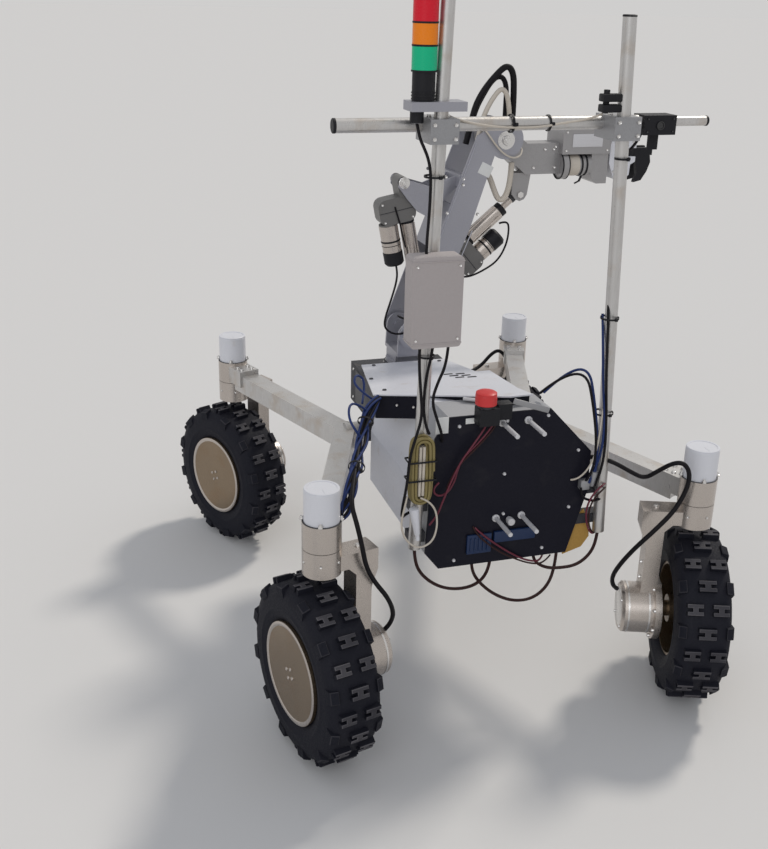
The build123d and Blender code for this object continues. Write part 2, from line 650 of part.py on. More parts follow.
def turret():
    """The slewing post with the two cheeks of the shoulder and the lift actuator's lugs."""
    x, z = SHOULDER
    post = box(*POST_X, ARM_Y - POST_HALF, ARM_Y + POST_HALF, SLEW_TOP_Z + 1, POST_TOP_Z)
    foot = rod_z(SLEW_R - 4, 0, ARM_Y, SLEW_TOP_Z + 1, SLEW_TOP_Z + 9)
    web = box(*POST_X, ARM_Y - CHEEK_Y[1], ARM_Y + CHEEK_Y[1], POST_TOP_Z - 8, POST_TOP_Z)
    spindle = rod_z(SPINDLE_R, 0, ARM_Y, SLEW_TOP_Z - SPINDLE_DEEP, SLEW_TOP_Z + 2)
    solid = post + foot + web + spindle
    cheek = [
        (POST_X[0], POST_TOP_Z - 4), (x - CHEEK_R, z), (x, z), (x + CHEEK_R, z),
        (POST_X[1] - 6, POST_TOP_Z - 4),
    ]
    eye_x, eye_z = LIFT_EYE
    lug = [
        (POST_X[0] + 36, POST_TOP_Z - 1), (POST_X[1], POST_TOP_Z - 14), (eye_x + 14, eye_z - 14),
        (eye_x + 14, eye_z + 8), (eye_x + 8, eye_z + 14), (eye_x - 10, eye_z + 14),
    ]
    for side in (-1, 1):
        cheek_y = sorted((ARM_Y + side * CHEEK_Y[0], ARM_Y + side * CHEEK_Y[1]))
        solid += slab_y(cheek, *cheek_y) + rod_y(CHEEK_R, x, *cheek_y, z)
        lug_from = ARM_Y + side * (EYE_HALF + LUG_GAP)
        solid += slab_y(lug, *sorted((lug_from, lug_from + side * LUG_WALL)))
    return solid - rod_y(PIVOT_PIN_R + RUNNING_GAP, x, ARM_Y - PLATE_Y_OUT, ARM_Y + PLATE_Y_OUT, z)


def back_edge(z):
    """Where the back edge of the side plates is at a height."""
    (low_x, low_z), (high_x, high_z) = SIDE_PLATE[:2]
    return low_x + (high_x - low_x) * (z - low_z) / (high_z - low_z)


def upper_arm():
    """Two long side plates, a back web, square tie bars, the pins and the actuators' brackets."""
    inner = PLATE_Y_OUT - PLATE_WALL + 0.5
    low, high = WEB_Z
    web = [
        (back_edge(low), low), (back_edge(high), high),
        (back_edge(high) + WEB_THICK, high), (back_edge(low) + WEB_THICK, low),
    ]
    solid = slab_y(web, ARM_Y - inner, ARM_Y + inner)
    for side in (-1, 1):
        plate_y = sorted((ARM_Y + side * PLATE_Y_OUT, ARM_Y + side * (PLATE_Y_OUT - PLATE_WALL)))
        pin_y = sorted((ARM_Y + side * (PLATE_Y_OUT + 3), ARM_Y + side * (CHEEK_Y[0] - 4)))
        spacer_y = sorted((ARM_Y + side * (PLATE_Y_OUT - 1), ARM_Y + side * (ACT_FORK_HALF + LUG_GAP)))
        cheek_y = sorted(ARM_Y + side * reach for reach in LIFT_CHEEK_Y)
        solid += slab_y(SIDE_PLATE, *plate_y)
        solid += rod_y(SHOULDER_END_R, SHOULDER[0], *plate_y, SHOULDER[1])
        solid += rod_y(ELBOW_END_R, ELBOW[0], *plate_y, ELBOW[1])
        solid += rod_y(PIVOT_PIN_R, SHOULDER[0], *pin_y, SHOULDER[1])
        solid += rod_y(BEND_SPACER_R, BEND_PIN[0], *spacer_y, BEND_PIN[1])
        solid += slab_y(LIFT_CHEEK, *cheek_y)
    for x0, x1, z0, z1 in TIE_BARS:
        solid += box(x0, x1, ARM_Y - inner, ARM_Y + inner, z0, z1)
    pins = (
        # radius, point, half length
        (PIVOT_PIN_R, ELBOW, PLATE_Y_OUT + 3),
        (ACT_PIN_R, LIFT_PIN, LIFT_CHEEK_Y[1] + 3),
        (ACT_PIN_R, BEND_PIN, inner),
    )
    for r, (x, z), half in pins:
        solid += rod_y(r, x, ARM_Y - half, ARM_Y + half, z)
    return solid


def forearm():
    """The elbow barrel, the gearbox, the wide drive housing, its arched end and the actuator's lugs."""
    x, z = ELBOW
    barrel_half = PLATE_Y_OUT - PLATE_WALL - BARREL_GAP
    ring_r, ring_from, ring_to, ring_z = JOINT_RING
    can_r, can_from, can_to, can_z = DRIVE_CAN
    solid = rod_y(BARREL_R, x, ARM_Y - barrel_half, ARM_Y + barrel_half, z)
    solid += slab_y(NECK, ARM_Y - NECK_HALF, ARM_Y + NECK_HALF)
    solid += rod_x(ring_r, ring_from, ring_to, DRIVE_CAN_Y, ring_z)
    solid += rod_x(can_r, can_from, can_to, DRIVE_CAN_Y, can_z)
    solid += slab_y(DRIVE_CASE, ARM_Y - DRIVE_HALF, ARM_Y + DRIVE_HALF)
    solid += slab_y(END_CASE, ARM_Y - END_CASE_HALF, ARM_Y + END_CASE_HALF)
    for side in (-1, 1):
        lug_from = ARM_Y + side * (EYE_HALF + LUG_GAP)
        solid += slab_y(EYE_LUG, *sorted((lug_from, lug_from + side * LUG_WALL)))
    return solid - rod_y(PIVOT_PIN_R + RUNNING_GAP, x, ARM_Y - barrel_half - 1, ARM_Y + barrel_half + 1, z)


def gripper():
    """The turning spindle, the gripper's white body and the jaws' pins."""
    low, high = JAW_Z
    body = slab_y(PALM, ARM_Y - PALM_HALF, ARM_Y + PALM_HALF)
    body += rod_x(WRIST_SPINDLE_R, WRIST_X, PALM[0][0] + 2, ARM_Y, WRIST_Z)
    body -= box(JAW_SLOT_X, JAW_TIP_X, ARM_Y - PALM_HALF - 1, ARM_Y + PALM_HALF + 1, low - 1, high + 1)
    for y in (ARM_Y - JAW_HALF, ARM_Y + JAW_HALF):
        body += rod_z(JAW_PIN_R, JAW_X, y, low - 4, high + 4)
    return body


def jaw(side):
    """One finger on its pin: a straight bar and a hooked claw below it."""
    y = ARM_Y + side * JAW_HALF
    half = JAW_THICK / 2
    hub = rod_z(JAW_HUB_R, JAW_X, y, *JAW_Z)
    finger = box(JAW_X, JAW_TIP_X, y - half, y + half, *JAW_Z) + slab_y(CLAW, y - half, y + half)
    return hub + finger - rod_z(JAW_PIN_R + RUNNING_GAP, JAW_X, y, JAW_Z[0] - 1, JAW_Z[1] + 1)


def actuator(pin, eye, tube_to, rod_from, motor_to):
    """The body and rod of a linear actuator between two pins in the arm's plane."""
    reach = hypot(eye[0] - pin[0], eye[1] - pin[1])
    turn = degrees(atan2(eye[1] - pin[1], eye[0] - pin[0]))
    place = Pos(pin[0], ARM_Y, pin[1]) * Rot(0, -turn, 0)
    head_from, head_to = ACT_HEAD
    fork = box(0, head_from + 1, -ACT_FORK_HALF, ACT_FORK_HALF, -ACT_FORK_R, ACT_FORK_R)
    fork += rod_y(ACT_FORK_R, 0, -ACT_FORK_HALF, ACT_FORK_HALF, 0)
    head = box(head_from, head_to, -ACT_HEAD_HALF, ACT_HEAD_HALF, *ACT_HEAD_ACROSS)
    head = fillet(head.edges().filter_by(Axis.Y), ACT_HEAD_ROUND)
    body = fork + head + rod_x(ACT_TUBE_R, head_to - 1, tube_to, 0, 0)
    body += rod_x(ACT_MOTOR_R, head_to - 1, motor_to, 0, ACT_MOTOR_OFF)
    body -= rod_y(ACT_PIN_R + RUNNING_GAP, 0, -ACT_FORK_HALF - 1, ACT_FORK_HALF + 1, 0)
    body -= rod_x(ACT_ROD_R + RUNNING_GAP, head_from + ACT_ROD_R, tube_to + 1, 0, 0)
    rod = rod_x(ACT_ROD_R, rod_from, reach - 4, 0, 0) + rod_y(EYE_R, reach, -EYE_HALF, EYE_HALF, 0)
    return place * body, place * rod


def add_arm():
    """The arm with its slewing drum, links and actuators."""
    drum = rod_z(SLEW_R, 0, ARM_Y, CHASSIS_TOP_Z, SLEW_TOP_Z)
    drum -= rod_z(SPINDLE_R + RUNNING_GAP, 0, ARM_Y, SLEW_TOP_Z - SPINDLE_DEEP - 2, SLEW_TOP_Z + 1)
    NODES["slew_drum"] = drum
    NODES["turret"] = turret()
    NODES["upper_arm"] = upper_arm()
    NODES["forearm"] = forearm()
    NODES["gripper"] = gripper()
    NODES["jaw_near"] = jaw(-1)
    NODES["jaw_far"] = jaw(1)
    NODES["lift_body"], NODES["lift_rod"] = actuator(LIFT_PIN, LIFT_EYE, *LIFT_REACH)
    NODES["bend_body"], NODES["bend_rod"] = actuator(BEND_PIN, BEND_EYE, *BEND_REACH)


def raise_body():
    """Puts all that the rocker shaft carries at the shaft's height."""
    grounded = ("tyre", "rim", "knuckle", "hub_motor", "steer", "rocker")
    for name, shape in NODES.items():
        if not name.startswith(grounded):
            NODES[name] = Pos(0, 0, PIVOT_Z - BODY_PIVOT_Z) * shape


NODES["rear_box"] = rear_box()
NODES["hull"] = hull()
NODES["hood"] = hood()
NODES["lid_frame"] = lid_frame()
NODES["chassis"] = chassis()
NODES["rocker_left"] = rocker(-1)
NODES["rocker_right"] = rocker(1)
add_corners()
add_masts()
add_mast_load()
add_plate()
add_arm()
add_cords()
raise_body()

if __name__ == "__main__":
    os.makedirs("parts", exist_ok=True)
    for node, shape in NODES.items():
        export_step(Pos(MIDDLE_X, 0, 0) * shape, f"parts/{node}.step")
    print(len(NODES), "nodes written")
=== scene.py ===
# %% [markdown]
# A planetary rover prototype, dressed in Blender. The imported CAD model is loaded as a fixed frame. It
# holds every rigid piece at its real size. This lesson adds the finishes, the tread, the fasteners and
# the cables, and each new piece takes its place from the frame.

# %% Load the frame
from contextlib import contextmanager
from math import cos, hypot, pi, radians, sin

import bmesh
import bpy
from mathutils import Matrix, Vector
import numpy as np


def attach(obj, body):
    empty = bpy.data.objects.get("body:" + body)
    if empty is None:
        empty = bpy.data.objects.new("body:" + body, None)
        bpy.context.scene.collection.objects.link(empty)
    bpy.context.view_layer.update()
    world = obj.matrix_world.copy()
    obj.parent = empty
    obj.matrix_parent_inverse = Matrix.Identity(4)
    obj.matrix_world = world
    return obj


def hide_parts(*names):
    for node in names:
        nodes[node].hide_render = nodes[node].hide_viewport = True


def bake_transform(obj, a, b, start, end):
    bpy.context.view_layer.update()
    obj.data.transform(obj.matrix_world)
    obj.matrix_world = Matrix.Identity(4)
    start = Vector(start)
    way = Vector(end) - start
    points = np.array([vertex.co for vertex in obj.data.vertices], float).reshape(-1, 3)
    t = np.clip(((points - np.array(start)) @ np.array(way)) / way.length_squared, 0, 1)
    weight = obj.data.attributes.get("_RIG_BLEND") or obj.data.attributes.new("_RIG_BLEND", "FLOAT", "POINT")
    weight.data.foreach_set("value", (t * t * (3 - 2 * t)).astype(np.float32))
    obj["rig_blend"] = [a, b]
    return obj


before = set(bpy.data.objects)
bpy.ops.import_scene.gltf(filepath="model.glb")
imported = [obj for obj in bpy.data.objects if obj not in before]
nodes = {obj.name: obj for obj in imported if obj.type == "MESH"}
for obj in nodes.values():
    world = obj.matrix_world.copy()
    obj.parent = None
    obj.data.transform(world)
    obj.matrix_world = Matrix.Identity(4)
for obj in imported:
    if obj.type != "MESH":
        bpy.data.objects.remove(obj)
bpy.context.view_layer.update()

# %% [markdown]
# The camera comes first. A photograph's viewing angle is a heading, a pitch and a small roll, and its lens
# follows from the focal length in pixels over the image's long side. A matrix whose columns are right, up and
# backwards says all three at once, which is safer than chaining turns.

# %% Camera
MIDDLE_X = -0.0385
CAMERA_PLACE = Vector((-0.7401 + MIDDLE_X, -1.9838, 1.2531))
CAMERA_HEADING = radians(17.50)
CAMERA_PITCH = radians(21.80)
CAMERA_ROLL = radians(1.35)
FOCAL_PIXELS = 1099
LONG_SIDE_PIXELS = 849
SENSOR = 36.0


def link(piece):
    bpy.context.scene.collection.objects.link(piece)
    return piece


def make_camera():
    """A camera that looks along the photograph's line of sight."""
    forward = Vector((
        sin(CAMERA_HEADING) * cos(CAMERA_PITCH),
        cos(CAMERA_HEADING) * cos(CAMERA_PITCH),
        -sin(CAMERA_PITCH),
    ))
    level = Vector((cos(CAMERA_HEADING), -sin(CAMERA_HEADING), 0))
    upright = level.cross(forward)
    right = cos(CAMERA_ROLL) * level + sin(CAMERA_ROLL) * upright
    up = cos(CAMERA_ROLL) * upright - sin(CAMERA_ROLL) * level
    data = bpy.data.cameras.new("camera")
    data.sensor_width = SENSOR
    data.lens = SENSOR * FOCAL_PIXELS / LONG_SIDE_PIXELS
    data.clip_start, data.clip_end = 0.05, 60
    camera = link(bpy.data.objects.new("camera", data))
    turned = Matrix((right, up, -forward)).transposed().to_4x4()
    camera.matrix_world = Matrix.Translation(CAMERA_PLACE) @ turned
    bpy.context.scene.camera = camera
    return camera


print("lens", round(make_camera().data.lens, 2), "mm")

# %% [markdown]
# The stage is a plain pale floor under soft light. A sun lights every part of a large floor alike, so the
# floor never darkens towards the edge of the picture. It is given a wide angle, which softens its shadows.
# In the photograph it stands low behind the rover's right. What the camera sees past the floor has the
# lit floor's own tone, so that no horizon shows. Shader nodes are added by one small function, which stores
# a plain value and links what comes from another node.

# %% Stage and light
FLOOR_SIZE = 60
FLOOR_TONE = (0.70, 0.685, 0.665, 1)
WORLD_TONE = (0.88, 0.92, 1.0, 1)
WORLD_STRENGTH = 0.52
BACKDROP_TONE = (0.625, 0.618, 0.612, 1)
SUNS = (
    # name, from, strength, angle in degrees, tone
    ("key", (2.4, 1.5, 3.0), 1.55, 9, (1.0, 0.95, 0.87)),
    ("fill", (-2.2, -3.2, 1.9), 0.62, 50, (0.95, 0.97, 1.0)),
)


def feed(tree, node, sockets):
    """Stores plain values in a node's inputs, and links those that come from another node."""
    for name, value in sockets.items():
        if isinstance(value, bpy.types.NodeSocket):
            tree.links.new(value, node.inputs[name])
        else:
            node.inputs[name].default_value = value


def add_node(tree, kind, sockets=None, **settings):
    """A shader node with its settings and inputs."""
    node = tree.nodes.new("ShaderNode" + kind)
    for name, value in settings.items():
        setattr(node, name, value)
    feed(tree, node, sockets or {})
    return node


def make_world():
    """Soft light from all round, and a plain pale tone behind the object."""
    world = bpy.context.scene.world or bpy.data.worlds.new("world")
    bpy.context.scene.world = world
    world.use_nodes = True
    tree = world.node_tree
    soft = tree.nodes["Background"]
    feed(tree, soft, {"Color": WORLD_TONE, "Strength": WORLD_STRENGTH})
    plain = add_node(tree, "Background", {"Color": BACKDROP_TONE})
    rays = add_node(tree, "LightPath").outputs
    seen = rays["Is Camera Ray"]
    for kind in ("Is Glossy Ray", "Is Transmission Ray"):
        seen = add_node(tree, "Math", {0: seen, 1: rays[kind]}, operation="MAXIMUM").outputs[0]
    blend = add_node(tree, "MixShader", {"Fac": seen, 1: soft.outputs[0], 2: plain.outputs[0]})
    feed(tree, tree.nodes["World Output"], {"Surface": blend.outputs[0]})


def make_stage():
    """The floor and the suns."""
    form = bmesh.new()
    bmesh.ops.create_grid(form, x_segments=1, y_segments=1, size=FLOOR_SIZE)
    mesh = bpy.data.meshes.new("floor")
    form.to_mesh(mesh)
    form.free()
    floor = link(bpy.data.objects.new("floor", mesh))
    material = bpy.data.materials.new("floor")
    material.use_nodes = True
    tree = material.node_tree
    feed(tree, tree.nodes["Principled BSDF"], {"Base Color": FLOOR_TONE, "Roughness": 1, "Specular IOR Level": 0})
    mesh.materials.append(material)
    for name, place, strength, angle, tone in SUNS:
        lamp = bpy.data.lights.new(name, "SUN")
        lamp.energy = strength
        lamp.angle = radians(angle)
        lamp.color = tone
        holder = link(bpy.data.objects.new(name, lamp))
        holder.rotation_euler = (-Vector(place)).to_track_quat("-Z", "Y").to_euler()


bpy.context.scene.view_settings.view_transform = "Standard"
make_world()
make_stage()
print("suns", len(SUNS))

# %% [markdown]
# Real finishes are never one flat colour. Each material below starts from the same small kit: a noise
# that drifts the colour, a finer noise that breaks the gloss, and a bump. The noise reads Object
# coordinates, which on these pieces are metres, so a scale of 200 is a grain of about 5 mm.

# %% Material kit
MIX_FACTOR, MIX_FIRST, MIX_SECOND, MIX_RESULT = 0, 6, 7, 2


def start_material(name, metallic, coat, sheen):
    """A material with its shader and Object coordinates ready."""
    material = bpy.data.materials.new(name)
    material.use_nodes = True
    tree = material.node_tree
    shader = tree.nodes["Principled BSDF"]
    feed(tree, shader, {"Metallic": metallic, "Coat Weight": coat, "Specular IOR Level": sheen})
    return material, tree, shader, add_node(tree, "TexCoord").outputs["Object"]


def noise(tree, place, scale, detail, stretch=(1, 1, 1)):
    """A noise's value, with the pattern stretched along the axes."""
    mapping = add_node(tree, "Mapping", {"Scale": stretch, "Vector": place})
    sockets = {"Scale": scale, "Detail": detail, "Vector": mapping.outputs["Vector"]}
    return add_node(tree, "TexNoise", sockets).outputs["Fac"]


def ramp(tree, value, *stops):
    """A grey that changes between two places along a value."""
    node = add_node(tree, "ValToRGB", {"Fac": value})
    for element, (place, grey) in zip(node.color_ramp.elements, stops):
        element.position = place
        element.color = (grey, grey, grey, 1)
    return node.outputs["Color"]


def mixed(tree, factor, first, second):
    """Two colours mixed by a factor."""
    first, second = ((*tone, 1) if isinstance(tone, tuple) else tone for tone in (first, second))
    node = add_node(tree, "Mix", data_type="RGBA")
    feed(tree, node, {MIX_FACTOR: factor, MIX_FIRST: first, MIX_SECOND: second})
    return node.outputs[MIX_RESULT]


def cover(tree, shader, colour, gloss, height, strength, distance):
    """Gives a shader its colour, its roughness and a bump on its normal."""
    bump = add_node(tree, "Bump", {"Strength": strength, "Distance": distance, "Height": height})
    feed(tree, shader, {"Base Color": colour, "Roughness": gloss, "Normal": bump.outputs["Normal"]})


def shade(tone, factor):
    return tuple(min(1.0, c * factor) for c in tone)


def surface(name, tone, rough, metallic, coat=0.0, grain=260, stretch=(1, 1, 1), drift=0.14, depth=0.00015,
            dust=None, dust_level=0.62, sheen=0.5):
    """A finish: its colour drifts, its gloss breaks up, and dust may settle in soft patches."""
    material, tree, shader, place = start_material(name, metallic, coat, sheen)
    fine = noise(tree, place, grain, 5, stretch)
    colour = mixed(tree, noise(tree, place, 9, 3), shade(tone, 1 - drift), shade(tone, 1 + drift))
    colour = mixed(tree, ramp(tree, fine, (0.35, 0.0), (0.7, 0.35)), colour, shade(tone, 1 - 1.6 * drift))
    if dust:
        patches = ramp(tree, noise(tree, place, 26, 6), (dust_level - 0.12, 0.0), (dust_level + 0.16, 0.55))
        colour = mixed(tree, patches, colour, dust)
    gloss = ramp(tree, fine, (0.3, max(0.03, rough - 0.1)), (0.75, min(1.0, rough + 0.12)))
    cover(tree, shader, colour, gloss, fine, 0.35, depth)
    return material


def make_rubber(name):
    """Black rubber, greyer and dustier on faces whose worn number is high."""
    material, tree, shader, place = start_material(name, 0.0, 0.0, 0.16)
    worn = add_node(tree, "Attribute", attribute_name="worn").outputs["Fac"]
    fine = noise(tree, place, 380, 5)
    broad = noise(tree, place, 14, 4)
    colour = mixed(tree, broad, (0.006, 0.007, 0.013), (0.012, 0.012, 0.018))
    dusty = mixed(tree, ramp(tree, broad, (0.3, 0.4), (0.7, 1.0)), colour, (0.125, 0.118, 0.125))
    gloss = ramp(tree, fine, (0.3, 0.55), (0.75, 0.85))
    cover(tree, shader, mixed(tree, worn, colour, dusty), gloss, fine, 0.4, 0.0004)
    return material


print("material kit ready")

# %% [markdown]
# The finishes come from a table of what each piece is made of. Bare alloy is dull, with a warm tint that is
# a painted reflection of the ground; the folded body is white paint; the plate and frame are black sheet, and
# the frame's black is partly painted shade under the hood. The rubber reads a number that the tyre's own
# making leaves on its faces, so that the lugs' rubbed edges are paler. Each row also names the pieces of the CAD
# model that wear its finish.

# %% Finishes
CORNER_NAMES = ("rear_left", "rear_right", "front_left", "front_right")
SOIL = (0.42, 0.33, 0.24)
FINISH_TABLE = (
    # name, tone, roughness, metal, what else the surface is given, nodes: one at each corner where _ ends it
    # the warm tint of the alloy tones below is a painted reflection of the ground; their patches are dust
    ("alloy_tube", (0.58, 0.57, 0.56), 0.36, 0.85, dict(grain=420, stretch=(1, 1, 0.12), dust=SOIL),
     "rocker_left rocker_right mast_left mast_right crossbar"),
    ("alloy_turned", (0.54, 0.49, 0.45), 0.3, 0.9, dict(grain=700, drift=0.1),
     "hub_motor_ knuckle_ steer_housings lift_rod bend_rod"),
    # the disc's dark brown tone is painted shade and a painted reflection of the ground; its patches are dust
    ("alloy_disc", (0.26, 0.195, 0.13), 0.3, 0.85, dict(grain=1200, drift=0.16, dust=(0.24, 0.15, 0.08)), "rim_"),
    ("satin_light", (0.62, 0.61, 0.62), 0.4, 0.15, dict(grain=500, drift=0.06), "plate_rods"),
    ("alloy_plate", (0.36, 0.36, 0.40), 0.4, 0.6, dict(grain=500, drift=0.1), "turret upper_arm light_shelf"),
    ("white_paint", (0.66, 0.66, 0.70), 0.45, 0, dict(coat=0.1, drift=0.05, dust=SOIL, dust_level=0.72),
     "hull hood"),
    ("white_plastic", (0.68, 0.68, 0.71), 0.42, 0, dict(drift=0.04, dust=SOIL, dust_level=0.75),
     "steer_caps gripper"),
    ("grey_paint", (0.40, 0.40, 0.41), 0.5, 0, dict(drift=0.08), "rear_box"),
    # on lid_frame this black is partly painted shade under the hood's overhang; the rear plate's black is its own
    ("black_sheet", (0.007, 0.007, 0.014), 0.5, 0, dict(dust=(0.03, 0.028, 0.03), dust_level=0.7, sheen=0.16),
     "rear_plate lid_frame"),
    ("blue_black", (0.006, 0.022, 0.075), 0.4, 0, dict(sheen=0.4), ""),
    # on the chassis this near-black is partly painted shade under the body
    ("dark_frame", (0.04, 0.04, 0.046), 0.55, 0, dict(dust=SOIL, dust_level=0.75, sheen=0.25),
     "chassis slew_drum mast_brackets"),
    ("black_plastic", (0.010, 0.010, 0.013), 0.5, 0, dict(sheen=0.25),
     "light_base stop_body jaw_near jaw_far bar_sensor"),
    ("black_gloss", (0.01, 0.01, 0.012), 0.2, 0, dict(coat=0.4), ""),
    ("clamp_grey", (0.33, 0.33, 0.34), 0.4, 0.5, dict(grain=500), "bar_clamps"),
    ("pale_cast", (0.36, 0.35, 0.35), 0.4, 0.5, dict(grain=600, depth=0.0003), "forearm"),
    ("grey_cast", (0.17, 0.165, 0.16), 0.45, 0.4, dict(grain=600, depth=0.0003), "lift_body bend_body"),
    ("dark_cast", (0.06, 0.06, 0.065), 0.5, 0.3, dict(grain=600, depth=0.0003), ""),
    ("bright_steel", (0.72, 0.71, 0.70), 0.22, 1, dict(grain=900, drift=0.06), ""),
    # the box's cream is darkened towards grey as painted shade
    ("cream_plastic", (0.40, 0.36, 0.35), 0.6, 0, dict(drift=0.04), "antenna_box"),
    ("lens_green", (0.008, 0.50, 0.24), 0.3, 0, dict(drift=0.06, sheen=0.25), "light_green"),
    ("lens_amber", (0.90, 0.24, 0.012), 0.3, 0, dict(drift=0.06, sheen=0.25), "light_amber"),
    ("lens_red", (0.70, 0.012, 0.03), 0.3, 0, dict(drift=0.06, sheen=0.25), "light_red"),
    ("stop_red", (0.62, 0.045, 0.045), 0.4, 0, dict(drift=0.06, sheen=0.3), "stop_button"),
    ("cable_black", (0.007, 0.006, 0.008), 0.55, 0, dict(grain=800, sheen=0.18), ""),
    ("cable_brown", (0.035, 0.014, 0.013), 0.6, 0, dict(grain=900, sheen=0.2), "loop_left loop_middle loop_right"),
    ("cable_red", (0.13, 0.012, 0.03), 0.5, 0, dict(grain=900), ""),
    ("cable_blue", (0.016, 0.034, 0.13), 0.55, 0, dict(grain=900, sheen=0.25), ""),
    ("cable_olive", (0.24, 0.19, 0.07), 0.6, 0, dict(grain=700, drift=0.3), "cable_hank"),
    ("cable_ochre", (0.42, 0.24, 0.05), 0.6, 0, dict(grain=500, drift=0.2), ""),
    ("cable_cream", (0.58, 0.52, 0.44), 0.55, 0, dict(grain=900), ""),
    ("label_white", (0.70, 0.70, 0.68), 0.6, 0, dict(drift=0.03), ""),
)


def dress(material, names):
    """Gives CAD nodes a finish, and says how many it dressed."""
    full = [name + corner for name in names.split() for corner in (CORNER_NAMES if name[-1] == "_" else ("",))]
    for name in full:
        slots = nodes[name].data.materials
        slots.clear()
        slots.append(material)
    return len(full)


FINISHES = {name: surface(name, tone, rough, metallic, **more)
            for name, tone, rough, metallic, more, _ in FINISH_TABLE}
FINISHES["tread_rubber"] = make_rubber("tread_rubber")
dressed = sum(dress(FINISHES[row[0]], row[-1]) for row in FINISH_TABLE) + dress(FINISHES["tread_rubber"], "tyre_")
print("finishes", len(FINISHES), "nodes dressed", dressed)

# %% [markdown]
# The cables come next. A cable is a curve with a round bevel, and a NURBS of order 3 keeps it smooth between
# its points. The three loops under the rear plate have the same points as their tubes in the CAD model, and
# stand for them. The other leads are held by ties or plugs along their way, and lie close on what carries them.

# %% Cable kit
MM = 0.001
CORD_LENGTHS = {}


def spot(x, y, z):
    """A point of the CAD model, whose millimetres start at the middle of the four wheels."""
    return Vector((x * MM + MIDDLE_X, y * MM, z * MM))


def lead_curve(name, routes, r, finish):
    """A curve object of one or several round leads, each a list of points."""
    data = bpy.data.curves.new(name, "CURVE")
    data.dimensions = "3D"
    data.bevel_depth = r * MM
    data.bevel_resolution = 2
    data.resolution_u = 6
    data.use_fill_caps = True
    for route in routes:
        line = data.splines.new("NURBS")
        line.points.add(len(route) - 1)
        for point, place in zip(line.points, route):
            point.co = (*spot(*place), 1)
        line.order_u = 3
        line.use_endpoint_u = True
    data.materials.append(FINISHES[finish])
    return link(bpy.data.objects.new(name, data))


def cable(name, routes, r, finish, body="root"):
    """Leads that one body carries all the way."""
    piece = lead_curve(name, routes, r, finish)
    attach(piece, body)
    return piece


def smooth_line(route, steps=8):
    """The points of an order 3 curve through its middles, which is what the curve object draws."""
    points = [spot(*place) for place in route]
    line = [points[0]]
    for first, middle, last in zip(points, points[1:], points[2:]):
        a = first if first is points[0] else (first + middle) / 2
        b = last if last is points[-1] else (middle + last) / 2
        for k in range(1, steps + 1):
            t = k / steps
            line.append(a * (1 - t) ** 2 + middle * 2 * t * (1 - t) + b * t * t)
    return line


def length_of(line):
    return sum((b - a).length for a, b in zip(line, line[1:]))


def declare(piece, route, r, length, stiffness="limp", lay="hanging", **path):
    """Keeps a free lead's real length in millimetres under its name; its route is not used."""
    CORD_LENGTHS[piece.name] = round(length / MM)


def free_cable(name, route, r, finish, slot="cable_sleeve", **how):
    """A lead held at its ends only."""
    piece = cable(name, [route], r, finish)
    declare(piece, route, r, length_of(smooth_line(route)), **how)
    return piece


def bending_cable(name, route, r, finish, bodies, start, end):
    """A free lead across a joint: a mesh tube that bends smoothly between two bodies."""
    curve = lead_curve(name + "_line", [route], r, finish)
    mesh = bpy.data.meshes.new_from_object(curve)
    mesh.name = name
    bpy.data.objects.remove(curve)
    piece = link(bpy.data.objects.new(name, mesh))
    line = smooth_line(route)
    declare(piece, route, r, length_of(line), path=line)
    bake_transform(piece, *bodies, start=spot(*start), end=spot(*end))


print("cable kit ready")

# %% [markdown]
# The loops under the rear plate leave the masts' feet and the box's floor, and hang in the open.

# %% Loops under the rear plate
BOX_FLOOR_Z = 289
LOOP_R = 3.0
LOOPS = (
    # name, length in millimetres, points
    ("loop_left", 249, (
        (-169.4, -367, 340), (-168.4, -367, 308), (-152, -369, 276), (-118, -371, 250), (-78, -370, 240),
        (-40, -364, 244), (-14, -346, 262), (-14, -346, BOX_FLOOR_Z),
    )),
    ("loop_middle", 292, (
        (-50, -344, BOX_FLOOR_Z), (-50, -344, 264), (-36, -352, 238), (-6, -358, 211), (32, -361, 193),
        (72, -360, 192), (104, -355, 213), (119, -347, 251), (119, -347, BOX_FLOOR_Z),
    )),
    ("loop_right", 195, (
        (186.5, -372, 331), (185.5, -372, 303), (175, -370, 275), (152, -366, 255), (122, -361, 251),
        (98, -355, 251), (79, -348, 260), (72, -345, 274), (72, -345, BOX_FLOOR_Z),
    )),
)
for name, length, route in LOOPS:
    piece = cable(name + "_lead", [route], LOOP_R, "cable_brown")
    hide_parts(name)
    declare(piece, route, LOOP_R, length * MM)
print("loops", len(LOOPS))

# %% [markdown]
# Rigid pieces are made in millimetres about the middle of the wheels, as in the CAD model, and scaled into
# the frame once they are whole. A rod is a cone with two equal radii, stood along a line. Its rims are the
# edges beside its many-sided caps, which is how they are found for a bevel. A piece is made in a block that
# opens an empty form, and it is finished and handed to its body when the block ends.

# %% Making kit
TO_FRAME = Matrix.Translation((MIDDLE_X, 0, 0)) @ Matrix.Scale(MM, 4)
RIGHT, FORWARD, UP = Vector((1, 0, 0)), Vector((0, 1, 0)), Vector((0, 0, 1))
BACK = -FORWARD
BOTH = (-1, 1)


def stood(at, way):
    """A matrix that stands local Z along a way, at a point."""
    return Matrix.Translation(at) @ way.to_track_quat("Z", "Y").to_matrix().to_4x4()


def round_edges(form, edges, width, steps=2):
    """Bevels edges, and gives the faces that this makes."""
    return bmesh.ops.bevel(form, geom=list(edges), offset=width, offset_type="OFFSET", segments=steps, profile=0.5,
                           affect="EDGES", material=-1, clamp_overlap=True)["faces"]


